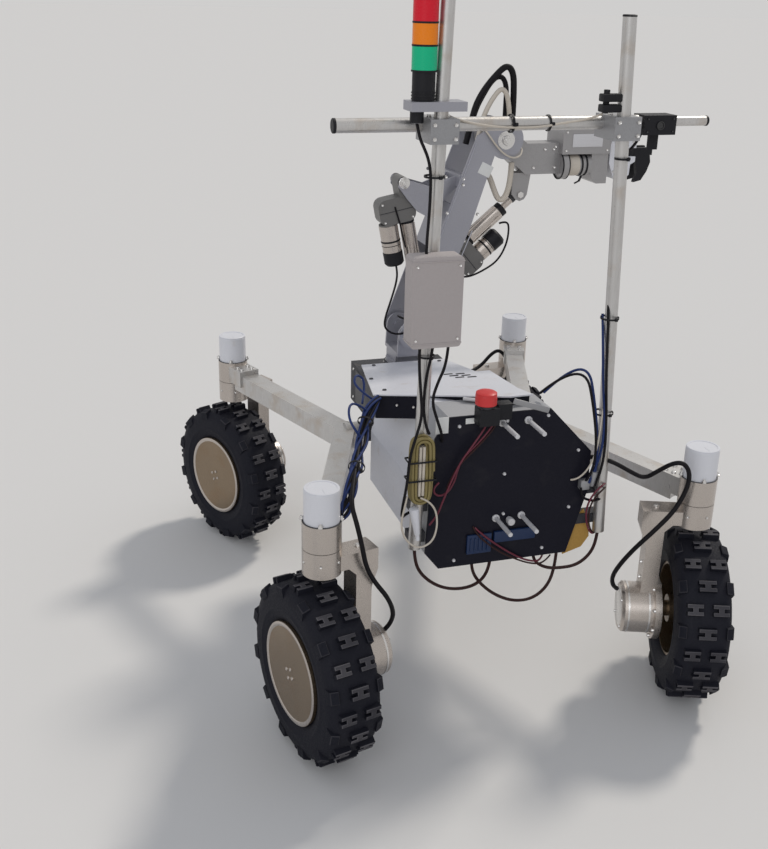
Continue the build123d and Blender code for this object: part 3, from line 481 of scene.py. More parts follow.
def add_rod(form, a, b, r, sides=32, edge=0.0, end_r=None):
    """A round rod, or a hexagon with 6 sides, with eased rims."""
    a, b = Vector(a), Vector(b)
    made = bmesh.ops.create_cone(form, cap_ends=True, segments=sides, radius1=r, radius2=r if end_r is None else end_r,
                                 depth=(b - a).length, matrix=stood((a + b) / 2, b - a))["verts"]
    if edge:
        round_edges(form, {e for v in made for e in v.link_edges if any(len(f.verts) > 4 for f in e.link_faces)}, edge)
    return made


def add_block(form, low, high, edge=0.0, turn=Matrix()):
    """A box between two corners, turned about its own middle, with eased edges."""
    low, high = Vector(low), Vector(high)
    place = Matrix.Translation((low + high) / 2) @ turn @ Matrix.Diagonal((*(high - low), 1))
    made = bmesh.ops.create_cube(form, size=1, matrix=place)["verts"]
    if edge:
        round_edges(form, {e for v in made for e in v.link_edges}, edge)


def add_lathe(form, outline, at, way, steps=48):
    """A turned form: radius and height pairs spun about the line from a point along a way."""
    verts = [form.verts.new((r, 0, h)) for r, h in outline]
    edges = [form.edges.new(pair) for pair in zip(verts, verts[1:] + verts[:1])]
    before = set(form.verts) - set(verts)
    bmesh.ops.spin(form, geom=verts + edges, cent=(0, 0, 0), axis=(0, 0, 1), angle=2 * pi, steps=steps, use_merge=True)
    made = [v for v in form.verts if v not in before]
    bmesh.ops.transform(form, matrix=stood(Vector(at), Vector(way)), verts=made)


def add_ring(form, at, way, r_in, r_out, low, high, steps=48):
    """A square-cut ring about a line, between two heights."""
    add_lathe(form, [(r_in, low), (r_out, low), (r_out, high), (r_in, high)], at, way, steps)


def add_screw(form, at, way, r, tall, sides=20):
    """A round screw head with a six-sided socket."""
    at, way = Vector(at), Vector(way).normalized()
    made = add_rod(form, at, at + way * tall, r, sides, end_r=0.86 * r)
    form.normal_update()
    crown = [f for f in {f for v in made for f in v.link_faces} if len(f.verts) > 4 and f.normal.dot(way) > 0.5]
    bmesh.ops.inset_individual(form, faces=crown, thickness=0.42 * r)
    bmesh.ops.translate(form, vec=-way * 0.5 * tall, verts=list({v for f in crown if f.is_valid for v in f.verts}))


def add_hex(form, at, way, r, tall):
    """A washer and a six-sided bolt head."""
    at, way = Vector(at), Vector(way).normalized()
    add_rod(form, at, at + way * 0.3 * tall, 1.25 * r, 20)
    add_rod(form, at + way * 0.25 * tall, at + way * tall, r, 6, edge=0.1 * r)


def around(count, first, r):
    """Evenly spaced places on a circle, from a first angle in degrees."""
    return [(r * cos(a), r * sin(a)) for a in (radians(first + 360 / count * k) for k in range(count))]


def finish_form(form, name, finish, slot, body="root", replaces=(), sharp=32, place=Matrix()):
    """Turns a form into a piece in the frame that rides on a body."""
    bmesh.ops.transform(form, matrix=TO_FRAME @ place, verts=form.verts)
    bmesh.ops.recalc_face_normals(form, faces=form.faces)
    mesh = bpy.data.meshes.new(name)
    form.to_mesh(mesh)
    form.free()
    mesh.shade_smooth()
    mesh.set_sharp_from_angle(angle=radians(sharp))
    mesh.materials.append(FINISHES[finish])
    piece = link(bpy.data.objects.new(name, mesh))
    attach(piece, body)
    if replaces:
        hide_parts(*replaces)


@contextmanager
def making(*said, **more):
    """An empty form that becomes a piece when its block ends."""
    form = bmesh.new()
    yield form
    finish_form(form, *said, **more)


TRACK, WHEELBASE = 702.0, 849.0
CORNERS = (
    # name, side, end, steering angle in the photograph
    ("rear_left", -1, -1, 13.4),
    ("rear_right", 1, -1, -20.0),
    ("front_left", -1, 1, 25.4),
    ("front_right", 1, 1, 5.0),
)


def corner_place(side, end, steer):
    """Where a corner's steering axis is, with the outboard side of its own X turned out."""
    turn = radians(steer if side < 0 else steer + 180)
    return Matrix.Translation((side * TRACK / 2, end * WHEELBASE / 2, 0)) @ Matrix.Rotation(turn, 4, "Z")


print("making kit ready")

# %% [markdown]
# The tyre is the piece that shows most. Its carcass is one outline spun about the axle. A lug is grown
# from a small grid: the left and right middle cells are taken out, which leaves an H on its side, and what
# is left is extruded outwards. Each lug is copied round in 24 rows, two kinds of row in turn, as the CAD
# model's plainer lugs are. The bevelled faces get the worn number.

# %% Tyres
TYRE_R, AXLE_Z, WHEEL_MID = 165.0, 165.0, -12.0
ROWS = 24
LUG_ROOT = 150
LUG_AROUND = (-10.5, -3.6, 3.6, 10.5)
CARCASS = (
    # across the tyre from its middle, radius
    (38, 88), (43, 91), (47.5, 102), (48.4, 109), (49.6, 111), (49.6, 114), (48.6, 117), (49, 126), (47, 138),
    (42, 149), (34, 154), (16, 155.4), (0, 155.8), (-16, 155.4), (-34, 154), (-42, 149), (-47, 138), (-49, 126),
    (-48.6, 117), (-49.6, 114), (-49.6, 111), (-48.4, 109), (-47.5, 102), (-43, 91), (-38, 88),
)


def wearing_form():
    """An empty form whose faces have the worn number."""
    form = bmesh.new()
    form.faces.layers.float.new("worn")
    return form


def wear(form, faces, level):
    layer = form.faces.layers.float["worn"]
    for face in faces:
        face[layer] = level


def drop_into(form, part):
    """Copies a part into a form and frees it."""
    spare = bpy.data.meshes.new("part")
    part.to_mesh(spare)
    part.free()
    form.from_mesh(spare)
    bpy.data.meshes.remove(spare)


def add_h_lug(form, wide, waist, tip):
    """An H on its side, standing outwards along Z."""
    across = (-wide / 2, -waist / 2, waist / 2, wide / 2)
    made = bmesh.ops.create_grid(form, x_segments=3, y_segments=3, size=0.5)["verts"]
    for vert in made:
        column, row = round((vert.co.x + 0.5) * 3), round((vert.co.y + 0.5) * 3)
        vert.co = (across[column], LUG_AROUND[row], LUG_ROOT)
    cells = list({f for v in made for f in v.link_faces})
    gaps = [f for f in cells if abs(f.calc_center_median().y) < 0.1 and abs(f.calc_center_median().x) > 0.1]
    bmesh.ops.delete(form, geom=gaps, context="FACES")
    grown = bmesh.ops.extrude_face_region(form, geom=[f for f in cells if f.is_valid])["geom"]
    top = [g for g in grown if isinstance(g, bmesh.types.BMVert)]
    bmesh.ops.translate(form, vec=(0, 0, tip - LUG_ROOT), verts=top)
    for vert in top:
        vert.co.x *= 0.95
        vert.co.y *= 0.93
    crest = [g for g in grown if isinstance(g, bmesh.types.BMFace)]
    wear(form, crest, 0.55)
    rim = {e for f in crest for e in f.edges if sum(g in crest for g in e.link_faces) == 1}
    wear(form, round_edges(form, rim, 1.1, 1), 1.0)


def add_shoulder_lug(form, side, tip, root):
    """A block at the tread's edge that runs down the sidewall."""
    made = bmesh.ops.create_cube(form, size=1)["verts"]
    for vert in made:
        out, up = vert.co.x * side > 0, vert.co.z > 0
        x = 48.4 if out else 35
        z = (tip - 6 if out else tip) if up else (root - 14 if out else root)
        vert.co = (side * x, vert.co.y * (22 if up else 24), z)
    top = {e for v in made for e in v.link_edges if all(u.co.z > root + 2 for u in e.verts)}
    wear(form, round_edges(form, top, 1.3, 1), 0.3)


def tyre_form():
    """One whole tyre about its steering axis, outboard towards -X."""
    form = wearing_form()
    add_lathe(form, [(r, x) for x, r in CARCASS], (0, 0, 0), RIGHT, 96)
    wear(form, form.faces, 0.03)
    for row in range(ROWS):
        lug = wearing_form()
        if row % 2:
            add_h_lug(lug, 32, 11, TYRE_R)
            for side in BOTH:
                add_shoulder_lug(lug, side, TYRE_R - 6.5, LUG_ROOT - 1)
        else:
            for x in (-22.5, 22.5):
                half = wearing_form()
                add_h_lug(half, 29, 10, TYRE_R - 0.8)
                bmesh.ops.translate(half, vec=(x, 0, 0), verts=half.verts)
                drop_into(lug, half)
        bmesh.ops.rotate(lug, cent=(0, 0, 0), matrix=Matrix.Rotation(2 * pi * row / ROWS, 3, "X"), verts=lug.verts)
        drop_into(form, lug)
    bmesh.ops.translate(form, vec=(WHEEL_MID, 0, AXLE_Z), verts=form.verts)
    return form


pattern = tyre_form()
print("faces in a tyre", len(pattern.faces))
for name, side, end, steer in CORNERS:
    finish_form(pattern.copy(), "tread_" + name, "tread_rubber", "tyre_rubber", "wheel_" + name,
                replaces=("tyre_" + name,), place=corner_place(side, end, steer), sharp=38)
pattern.free()

# %% [markdown]
# Each wheel is closed by a thin dished disc with a raised edge, which reads brighter because the disc's tone is
# darkened and browned as painted shade and a painted reflection of the ground. The motor's can has a joint line
# near each end and a ring of cap screws that hold it to the knuckle's flange. Small parts like these are what the
# eye reads as a machine and not a model.

# %% Wheels and hub motors
DISC_X = -61.0
MOTOR_FROM, MOTOR_TO, MOTOR_R = 58.0, 117.0, 48.0
MOTOR_SCREWS = (
    # count, first angle, place along the axle, distance from it, radius, height
    (4, 45, MOTOR_TO, 39.5, 2.8, 2.2),
    (8, 22.5, MOTOR_FROM, 53.6, 3.4, 3.4),
)
for name, side, end, steer in CORNERS:
    place = corner_place(side, end, steer)
    with making("disc_edge_" + name, "alloy_turned", "bare_alloy", "wheel_" + name, place=place) as edge:
        add_lathe(edge, [(83, 0), (85, 1.4), (88.5, 1.6), (90.6, 0.6), (91, -2), (83, -2)], (DISC_X, 0, AXLE_Z),
                  -RIGHT, 96)
        for y, z in around(4, 20, 11):
            add_screw(edge, (DISC_X - 0.2, y, AXLE_Z + z), -RIGHT, 3.4, 1.6)
    with making("motor_trim_" + name, "bright_steel", "motor_case", "knuckle_" + name, place=place) as motor:
        for x in (MOTOR_FROM + 9, MOTOR_TO - 12):
            add_ring(motor, (x, 0, AXLE_Z), RIGHT, MOTOR_R - 1, MOTOR_R + 0.9, -1.6, 1.6, 64)
        add_lathe(motor, [(0.5, 1.2), (34, 1.2), (36, 0), (36, -1), (0.5, -1)], (MOTOR_TO, 0, AXLE_Z), RIGHT)
        for count, first, x, off, r, tall in MOTOR_SCREWS:
            for y, z in around(count, first, off):
                add_screw(motor, (x, y, AXLE_Z + z), RIGHT, r, tall)
print("corner trims", 2 * len(CORNERS))

# %% [markdown]
# Each corner's cap is held by small bright screws in ears at its foot, and a dark gap shows where it meets
# the housing. The suspension arms carry the housings in saddles that are bolted from above, and a pin with
# a wide head holds each arm to the chassis.

# %% Corner caps, saddles and pivots
CAP_SEAM_Z, EAR_Z, EAR_TOP_Z, CAP_TOP_Z = 441, 442, 446.5, 499
SADDLE_TOP_Z, PIVOT_X, PIVOT_Z = 434, 197, 404
for name, side, end, steer in CORNERS:
    x, y = side * TRACK / 2, end * WHEELBASE / 2
    with making("cap_seam_" + name, "dark_cast", "dark_frame") as seam:
        add_ring(seam, (x, y, CAP_SEAM_Z), UP, 30.2, 32.6, -1.2, 0.9, 64)
    with making("cap_lip_" + name, "white_plastic", "white_plastic") as lip:
        add_lathe(lip, [(24.5, -0.6), (29.6, -0.6), (29.6, 0.3), (28.6, 1.0), (25.2, 1.0), (24.5, 0.2)],
                  (x, y, CAP_TOP_Z), UP, 64)
        add_block(lip, (x - 0.8, y - 24, CAP_TOP_Z - 0.2), (x + 0.8, y - 4, CAP_TOP_Z + 0.5), 0.2)
    with making("cap_screws_" + name, "bright_steel", "steel") as ears:
        for dx, dy in around(4, -17.5, 32.6):
            add_rod(ears, (x + dx, y + dy, EAR_Z), (x + dx, y + dy, EAR_TOP_Z), 4.4, 20, edge=0.8)
            add_screw(ears, (x + dx, y + dy, EAR_TOP_Z), UP, 3.0, 2.4, 16)
    with making("knuckle_bolts_" + name, "bright_steel", "steel", "knuckle_" + name,
                place=corner_place(side, end, steer)) as flange:
        for dx, dy in around(6, 0, 33):
            add_screw(flange, (dx, dy, 372), (dx, dy, 0), 2.6, 1.2, 14)
        add_hex(flange, (69, 0, 377), UP, 5, 4)
        for z in (230, 262):
            add_screw(flange, (84, 0, z), RIGHT, 4, 3, 18)
with making("saddle_bolts", "bright_steel", "steel") as fittings:
    for side in BOTH:
        for end in BOTH:
            top = Vector((side * TRACK / 2, end * WHEELBASE / 2, SADDLE_TOP_Z))
            way = (Vector((side * PIVOT_X, 0, SADDLE_TOP_Z)) - top).normalized()
            across = Vector((way.y, -way.x, 0))
            for back in (46, 64):
                for off in (-13, 13):
                    add_hex(fittings, top + way * back + across * off, UP, 4, 4)
        add_hex(fittings, (side * PIVOT_X, 0, PIVOT_Z), side * RIGHT, 11, 9)
print("corners with caps and bolts", len(CORNERS))

# %% [markdown]
# The two masts stand in bolted brackets and carry ties wherever a lead is held to them. A tie is a thin
# band, drawn tight, with a square head. The crossbar's clamps are closed by screws from the front, and
# round plugs close the open tube ends.

# %% Masts, crossbar and ties
MASTS = {
    # side: x and z of the foot, lean, y, top
    -1: (-169.5, 336, 22.5 / 909, -367, 1245),
    1: (187, 327, -38 / 892, -372, 1219),
}
BAR_Y, BAR_Z = -339, 1055
TIES = (
    # side, z, shift, radius
    (-1, 981, -6, 15.5), (-1, 691, -1, 13.2), (1, 736, -5, 15), (1, 1002, 0, 12), (1, 563, -6, 16.5),
)


def mast_point(side, z):
    """The middle of a mast at a height."""
    foot_x, foot_z, lean, y, _ = MASTS[side]
    return Vector((foot_x + (z - foot_z) * lean, y, z))


def add_tie(form, at, way, r, wide=3.2):
    """A tie round something with a given radius, and its square head towards the photograph."""
    at, way = Vector(at), Vector(way).normalized()
    add_ring(form, at, way, r, r + 1.1, -wide / 2, wide / 2, 32)
    head = at + Vector((0.25, -0.95, 0)).normalized() * (r + 1.5)
    half = Vector((2.6, 1.8, 2.6))
    add_block(form, head - half, head + half, 0.5)


with making("ties", "black_plastic", "black_plastic") as ties:
    for side, z, shift, r in TIES:
        add_tie(ties, mast_point(side, z) + Vector((shift, -4, 0)), UP, r)
    add_tie(ties, (-24, BAR_Y, BAR_Z), RIGHT, 13.5, 4)
    add_tie(ties, (40, BAR_Y, BAR_Z), RIGHT, 12, 3)
with making("tube_plugs", "black_plastic", "black_plastic") as plugs:
    for side in BOTH:
        add_lathe(plugs, [(0.5, -3), (11.4, -3), (11.4, -0.8), (10.4, 0.2), (0.5, 0.2)],
                  mast_point(side, MASTS[side][-1]), UP, 40)
    for x, way, r in ((-313, -RIGHT, 11), (328, RIGHT, 8)):
        add_lathe(plugs, [(0.5, -3), (r + 0.4, -3), (r + 0.4, 0.6), (r - 0.8, 1.6), (0.5, 1.6)], (x, BAR_Y, BAR_Z),
                  way, 40)
with making("clamp_screws", "bright_steel", "steel") as bolts:
    for side in BOTH:
        middle = mast_point(side, 1049.5).x
        for dx in (-17, 17):
            for z in (1039, 1060):
                add_screw(bolts, (middle + dx, -389, z), BACK, 3.6, 3)
        for dx in (-15, 15):
            add_hex(bolts, (middle + dx, -354, 1068), UP, 4, 4)
with making("tube_sleeves", "black_plastic", "black_plastic") as neck:
    add_ring(neck, (258, BAR_Y, BAR_Z), RIGHT, 8.4, 9.6, -6, 6, 40)
    add_ring(neck, (-190, -367, 1061), UP, 9.2, 10.6, 0.5, 17.5, 32)
print("ties", len(TIES) + 2)

# %% [markdown]
# The signal light is stacked from three lenses with dark rings between them. The stop button gets its
# collar and the crown of its mushroom, and the box on the left mast gets two lid lines, four screws and two
# brackets on the tube.

# %% Signal light, stop button and box
LIGHT_X, LIGHT_Y = -181, -367
LENS_SEAMS, BASE_RINGS = (1136, 1172, 1204), (1096, 1100.5, 1105)
STOP_X, STOP_Y = -56, -382
with making("light_rings", "black_plastic", "black_plastic") as stack:
    for z in LENS_SEAMS:
        add_lathe(stack, [(18, -1.4), (19.3, -1.4), (19.7, 0), (19.3, 1.4), (18, 1.4)], (LIGHT_X, LIGHT_Y, z), UP, 64)
    for z in BASE_RINGS:
        add_ring(stack, (LIGHT_X, LIGHT_Y, z), UP, 17, 18.4, -0.9, 0.9, 64)
with making("stop_crown", "stop_red", "stop_red") as crown:
    add_lathe(crown, [(0.3, -2), (18, -2), (18, 0), (15.5, 1.6), (9, 2.6), (0.3, 2.9)], (STOP_X, STOP_Y, 622), UP)
with making("stop_collar", "dark_cast", "black_plastic") as collar:
    add_lathe(collar, [(10, 0), (14, 0), (14, 2.6), (11, 6), (10, 6)], (STOP_X, STOP_Y, 596), UP, 40)
    for dx in (-11, 11):
        add_screw(collar, (STOP_X + dx, STOP_Y - 10, 596), UP, 2.2, 1.4, 14)
# the lid lines share the box's tone, darkened as painted shade
with making("box_seams", "cream_plastic", "cream_plastic") as lid:
    for z in (726, 858):
        add_block(lid, (-207, -421, z), (-121, -381.5, z + 2), 0.6)
with making("box_brackets", "dark_cast", "dark_frame") as band:
    for z in (748, 838):
        add_block(band, (-184, -384, z - 6), (-140, -352, z + 6), 1.5)
with making("box_screws", "bright_steel", "steel") as screws:
    for x in (-199, -129):
        for z in (734, 852):
            add_screw(screws, (x, -420, z), BACK, 2.6, 1.5, 16)
print("light rings", len(LENS_SEAMS) + len(BASE_RINGS))

# %% [markdown]
# The rear plate carries its screws, a knob, two dark blue covers low down, and the small connectors that
# the leads run to. Every label is left blank.

# %% Rear plate fittings
PLATE_Y = -370
PLATE_SCREWS = ((-97, 560), (-9, 562), (68, 565), (-8, 462), (132, 493), (123, 382), (76, 305), (-95, 302), (-5, 384))
FLAP = ((123, 281), (131, 326), (143, 352), (158, 370), (172, 340), (174, 312), (160, 292))
with making("plate_screws", "satin_light", "steel") as screws:
    for x, z in PLATE_SCREWS:
        add_screw(screws, (x, PLATE_Y, z), BACK, 3.1, 2)
with making("plate_knob", "satin_light", "steel") as knob:
    add_lathe(knob, [(0.3, 0), (5, 0), (5, 5), (7, 6), (7, 14), (6, 15.5), (0.3, 15.5)], (6, PLATE_Y, 372), BACK, 32)
    for x in (-19, 30):
        for z in (377, 560):
            add_lathe(knob, [(4.2, 0), (7, 0), (7, 2.5), (5.6, 4), (4.2, 4)], (x, PLATE_Y, z), BACK, 28)
with making("plate_covers", "blue_black", "black_plastic") as covers:
    add_block(covers, (-73, PLATE_Y - 5, 312), (-26, PLATE_Y, 350), 1.6)
    add_block(covers, (-22, PLATE_Y - 7, 330), (58, PLATE_Y, 352), 1.8)
    for x in range(-66, -33, 8):
        add_block(covers, (x - 1.5, PLATE_Y - 7, 318), (x + 1.5, PLATE_Y - 4, 344), 0.4)
with making("plate_strip", "clamp_grey", "white_fitting",
            place=Matrix.Translation((34, -371, 586)) @ Matrix.Rotation(radians(19), 4, "Y")) as strip:
    add_block(strip, (-36, -1, -5), (36, 1, 5), 0.6)
with making("blank_labels", "label_white", "white_fitting") as patch:
    add_block(patch, (-86, PLATE_Y - 0.7, 563), (-70, PLATE_Y, 573), 0.2)
    add_block(patch, (-141, -374, 551), (-118, -372, 580), 0.4)
with making("grey_connectors", "clamp_grey", "white_fitting") as plug:
    add_block(plug, (137, PLATE_Y - 14, 418), (155, PLATE_Y, 437), 2)
    add_rod(plug, (160, PLATE_Y - 16, 455), (159, PLATE_Y - 12, 425), 6, 24, edge=1, end_r=4.5)
with making("yellow_flap", "cable_ochre", "white_fitting") as flap:
    front = flap.faces.new([flap.verts.new((x, -363, z)) for x, z in FLAP])
    grown = bmesh.ops.extrude_face_region(flap, geom=[front])["geom"]
    bmesh.ops.translate(flap, vec=(0, 2.2, 0), verts=[g for g in grown if isinstance(g, bmesh.types.BMVert)])
print("plate screws", len(PLATE_SCREWS))

# %% [markdown]
# A lead that is kept for later is wound flat and tied twice. Wound on an oval, it is one line that goes in
# through one layer, out through the next and in again, so that it never passes through itself.

# %% Hank of spare lead
HANK_X, HANK_Z, HANK_HALF = -169, 493, 43
HANK_WIDE, HANK_PITCH = 20.0, 5.9
HANK_LAYERS = (-393.2, -387.2, -381.2, -375.2)
TURNS, TURN_STEPS = 2, 24


def hank_route():
    """Points along the oval winding, two turns to a layer."""
    route = []
    for layer, y in enumerate(HANK_LAYERS):
        for k in range(1 if layer else 0, TURNS * TURN_STEPS + 1):
            share = k / (TURNS * TURN_STEPS)
            half = HANK_WIDE - HANK_PITCH * TURNS * (1 - share if layer % 2 else share)
            a = 2 * pi * k / TURN_STEPS
            lift = (HANK_HALF if sin(a) >= 0 else -HANK_HALF) * min(1, abs(sin(a)) * 3.2)
            route.append((HANK_X + half * cos(a), y, HANK_Z + lift + half * sin(a)))
    return route


hank = free_cable("hank", hank_route(), 2.7, "cable_olive", "cable_olive", lay="coiled", stiffness="medium")
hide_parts("cable_hank")
cable("hank_core", [[(x, y, 448), (x, y, 493), (x, y, 538)] for x in (-172.4, -166) for y in (-391, -384)], 2.8,
      "cable_cream")
with making("hank_ties", "black_plastic", "black_plastic") as bands:
    band = [(-24.5, -397.5), (24.5, -397.5), (24.5, -371), (-24.5, -371)]
    for z in (478, 512):
        for (x0, y0), (x1, y1) in zip(band, band[1:] + band[:1]):
            add_block(bands, (HANK_X + min(x0, x1) - 0.6, min(y0, y1) - 0.6, z - 1.7),
                      (HANK_X + max(x0, x1) + 0.6, max(y0, y1) + 0.6, z + 1.7), 0.5)
with making("hank_plug", "white_plastic", "white_fitting") as plug:
    add_rod(plug, (-180, -388, 424), (-172, -388, 372), 9, 28, edge=2, end_r=5)
    add_rod(plug, (-172, -388, 374), (-171, -388, 362), 3.6, 20)
print("hank", CORD_LENGTHS["hank"], "mm")

# %% [markdown]
# The leads that lie on the masts and the crossbar are tied all along, so they follow what carries them.
# The red and brown ones in front of the plate, the two arcs from the hood to the mast and the pale loop
# below the hank are held at their ends only, so each is a free cable with its own length.

# %% Leads on the masts and the plate
LEADS = (
    # name, radius, finish, how it lies: tied, loose or hanging, one or several routes
    ("light_lead", 2.4, "cable_black", "tied", (
        (-190, -367, 1062), (-187, -374, 1040), (-183, -384, 1027), (-175, -384, 1010), (-169, -382, 985),
        (-170, -384, 930), (-176, -392, 880), (-176, -394, 862))),
    ("box_leads", 2.6, "cable_black", "tied", (
        (-183, -398, 724), (-183, -396, 689), (-178, -396, 640), (-175, -400, 596), (-186, -402, 560),
        (-195, -401, 526), (-197, -400, 481), (-203, -394, 429), (-199, -380, 404), (-180, -350, 396),
        (-150, -330, 395)), (
        (-134, -398, 724), (-134, -394, 683), (-148, -392, 650), (-157, -392, 619), (-146, -392, 585),
        (-136, -388, 560), (-131, -378, 545), (-128, -371, 536)), (
        (-160, -398, 724), (-160, -392, 700), (-166, -386, 660), (-170, -388, 610), (-166, -392, 575),
        (-158, -390, 560))),
    ("red_lead_1", 1.8, "cable_red", "loose", (
        (-34, -371, 570), (-34, -378, 566), (-60, -379, 533), (-91, -379, 505), (-101, -379, 481),
        (-104, -379, 463), (-116, -379, 441), (-134, -379, 436), (-146, -379, 452), (-132, -377, 462))),
    ("red_lead_2", 1.8, "cable_red", "loose", (
        (-58, -371, 363), (-54, -378, 358), (-9, -378, 320), (32, -377, 292), (60, -374, 280), (79, -366, 277),
        (90, -350, 282))),
    ("red_lead_3", 1.8, "cable_red", "loose", (
        (-44, -371, 568), (-50, -378, 560), (-80, -383, 522), (-96, -383, 500), (-110, -383, 470),
        (-126, -383, 428), (-135, -382, 400), (-146, -376, 382))),
    ("red_lead_4", 1.8, "cable_red", "loose", (
        (188, -379, 426), (179, -389, 428), (166, -391, 420), (156, -389, 404), (152, -384, 382),
        (156, -380, 354), (166, -376, 330), (178, -374, 320), (187, -372, 332))),
    ("brown_lead_1", 1.6, "cable_brown", "loose", (
        (-28, -371, 571), (-32, -380, 560), (-66, -382, 524), (-98, -381, 494), (-112, -381, 470),
        (-118, -378, 450))),
    ("brown_lead_2", 1.6, "cable_brown", "loose", (
        (-62, -371, 366), (-58, -380, 352), (-14, -381, 314), (26, -380, 291), (56, -376, 277), (84, -368, 270),
        (104, -352, 276))),
    ("brown_lead_3", 1.6, "cable_brown", "loose", (
        (189, -379, 418), (180, -390, 420), (167, -393, 412), (160, -388, 395), (158, -383, 374),
        (161, -380, 352), (169, -377, 331), (179, -375, 322), (188, -373, 333))),
    ("mast_arc_blue", 2.4, "cable_blue", "loose", (
        (75, -330, 592), (104, -352, 636), (131, -384, 652), (145, -388, 592), (160, -388, 515),
        (162, -386, 457), (160, -386, 436))),
    ("mast_arc_black", 2.4, "cable_black", "loose", (
        (70, -326, 590), (96, -350, 628), (124, -390, 646), (139, -394, 590), (154, -394, 515),
        (155, -390, 457), (146, -383, 437))),
    ("right_mast_blue", 2.4, "cable_blue", "tied", (
        (158, -362, 740), (156, -378, 690), (158, -388, 620), (166, -392, 560), (168, -391, 500),
        (160, -386, 458), (152, -384, 432))),
    ("right_mast_black", 2.4, "cable_black", "tied", (
        (206, -343, 1036), (196, -346, 1018), (172, -352, 1004), (168, -358, 985), (172, -358, 900),
        (172, -360, 800), (160, -374, 760), (156, -388, 730), (160, -392, 640), (168, -394, 560),
        (173, -393, 490), (168, -388, 440), (160, -384, 420)), (
        (137, -384, 424), (140, -384, 406), (151, -383, 399), (168, -382, 393), (180, -380, 396))),
    ("right_mast_pale", 1.7, "cable_cream", "tied", (
        (163, -388, 575), (160, -392, 548), (156, -392, 492), (146, -386, 459), (130, -378, 438),
        (122, -371, 436))),
    ("crossbar_lead", 1.8, "cable_cream", "tied", (
        (-137, -352, 1070), (-110, -352, 1060), (-60, -352, 1052), (-24, -352, 1050), (20, -352, 1050),
        (60, -352, 1056), (110, -352, 1062), (126, -356, 1070))),
    ("pale_loop", 1.8, "cable_cream", "hanging", (
        (-196, -397, 452), (-200, -397, 430), (-206, -396, 400), (-196, -396, 368), (-172, -395, 348),
        (-146, -395, 358), (-138, -395, 388), (-142, -395, 420), (-158, -396, 440), (-172, -397.5, 447))),
)
for name, r, finish, lay, *routes in LEADS:
    if lay == "tied":
        cable(name, routes, r, finish)
    else:
        free_cable(name, *routes, r, finish, lay=lay)
print("leads", len(LEADS), "of them tied", sum(row[3] == "tied" for row in LEADS))

# %% [markdown]
# Four leads cross the steering. Each leaves the body near its corner, hangs past the housing and ends in
# the motor, with enough slack for the whole steering range. The mesh bends smoothly between the two bodies.

# %% Leads to the hub motors
MOTOR_LEADS = (
    # name, points, start and end of the bend
    ("rear_right", (
        (150, -300, 440), (170, -344, 468), (192, -388, 472), (225, -396, 452), (252, -404, 438), (264, -424, 460),
        (276, -450, 486), (291, -463, 490), (303, -466, 470), (302, -465, 440), (286, -461, 398), (255, -454, 359),
        (228, -438, 318), (213, -418, 276), (210, -400, 240), (220, -392, 214), (234, -384, 203),
    ), (303, -465, 455), (212, -410, 260)),
    ("rear_left", (
        (-196, -220, 566), (-226, -236, 546), (-250, -290, 515), (-280, -366, 488), (-302, -424, 464),
        (-296, -440, 436), (-288, -447, 395), (-282, -448, 360), (-266, -446, 326), (-238, -438, 286),
        (-222, -422, 246), (-220, -404, 216), (-229, -398, 198), (-235, -396.6, 192),
    ), (-296, -440, 440), (-228, -424, 250)),
    ("front_right", (
        (105, 262, 415), (150, 300, 402), (200, 350, 388), (250, 385, 388), (285, 398, 418), (306, 394, 426),
        (324, 386, 396), (330, 385, 361), (304, 386, 322), (262, 388, 290), (236, 396, 250), (224, 404, 222),
        (230, 412, 206), (236, 413, 200),
    ), (322, 386, 400), (232, 400, 245)),
    ("front_left", (
        (-105, 60, 398), (-160, 66, 398), (-182, 100, 397), (-214, 121, 396), (-255, 234, 396), (-290, 337, 396),
        (-299, 378, 388), (-292, 420, 358), (-277, 456, 314), (-268, 470, 264), (-262, 471, 230), (-258, 468, 213),
    ), (-299, 372, 390), (-271, 466, 280)),
)
SIDE_ROUTE = (
    (-196, -222, 566), (-214, -236, 556), (-230, -258, 538), (-244, -288, 518), (-258, -316, 504), (-270, -344, 492),
    (-284, -372, 482), (-298, -398, 464), (-308, -410, 444), (-322, -417, 430),
)
SIDE_LOOPS = (
    ("side_loop_front", (
        (-203, -212, 560), (-222, -206, 574), (-236, -196, 590), (-226, -180, 600), (-210, -176, 588),
        (-214, -190, 566), (-224, -214, 556))),
    ("side_loop_back", (
        (-222, -244, 552), (-244, -246, 570), (-262, -262, 574), (-268, -284, 556), (-256, -296, 534),
        (-246, -288, 520))),
)


def bundle_lines(route, count, spread, phase):
    """Several leads that twist loosely about one route."""
    lines = []
    for k in range(count):
        line = []
        for step, (x, y, z) in enumerate(route):
            a = 2 * pi * k / count + 0.9 * step + phase
            wide = spread if 0 < step < len(route) - 1 else spread * 0.4
            line.append((x + wide * cos(a), y + 0.6 * wide * sin(a), z + wide * sin(a)))
        lines.append(line)
    return lines


for name, route, start, end in MOTOR_LEADS:
    bending_cable("motor_lead_" + name, route, 4.2, "cable_black", ("root", "knuckle_" + name), start, end)
cable("side_bundle", bundle_lines(SIDE_ROUTE, 4, 10, 0.0), 2.4, "cable_blue")
cable("side_bundle_dark", bundle_lines(SIDE_ROUTE, 3, 6, 0.8), 2.6, "cable_black")
for name, route in SIDE_LOOPS:
    free_cable(name, route, 2.2, "cable_blue", lay="loose")
with making("side_ties", "black_plastic", "black_plastic") as ties:
    for k, way in ((2, (-14, -25, -18)), (5, (-13, -28, -11))):
        add_tie(ties, SIDE_ROUTE[k], way, 13.5, 3.4)
print("motor leads", len(MOTOR_LEADS))

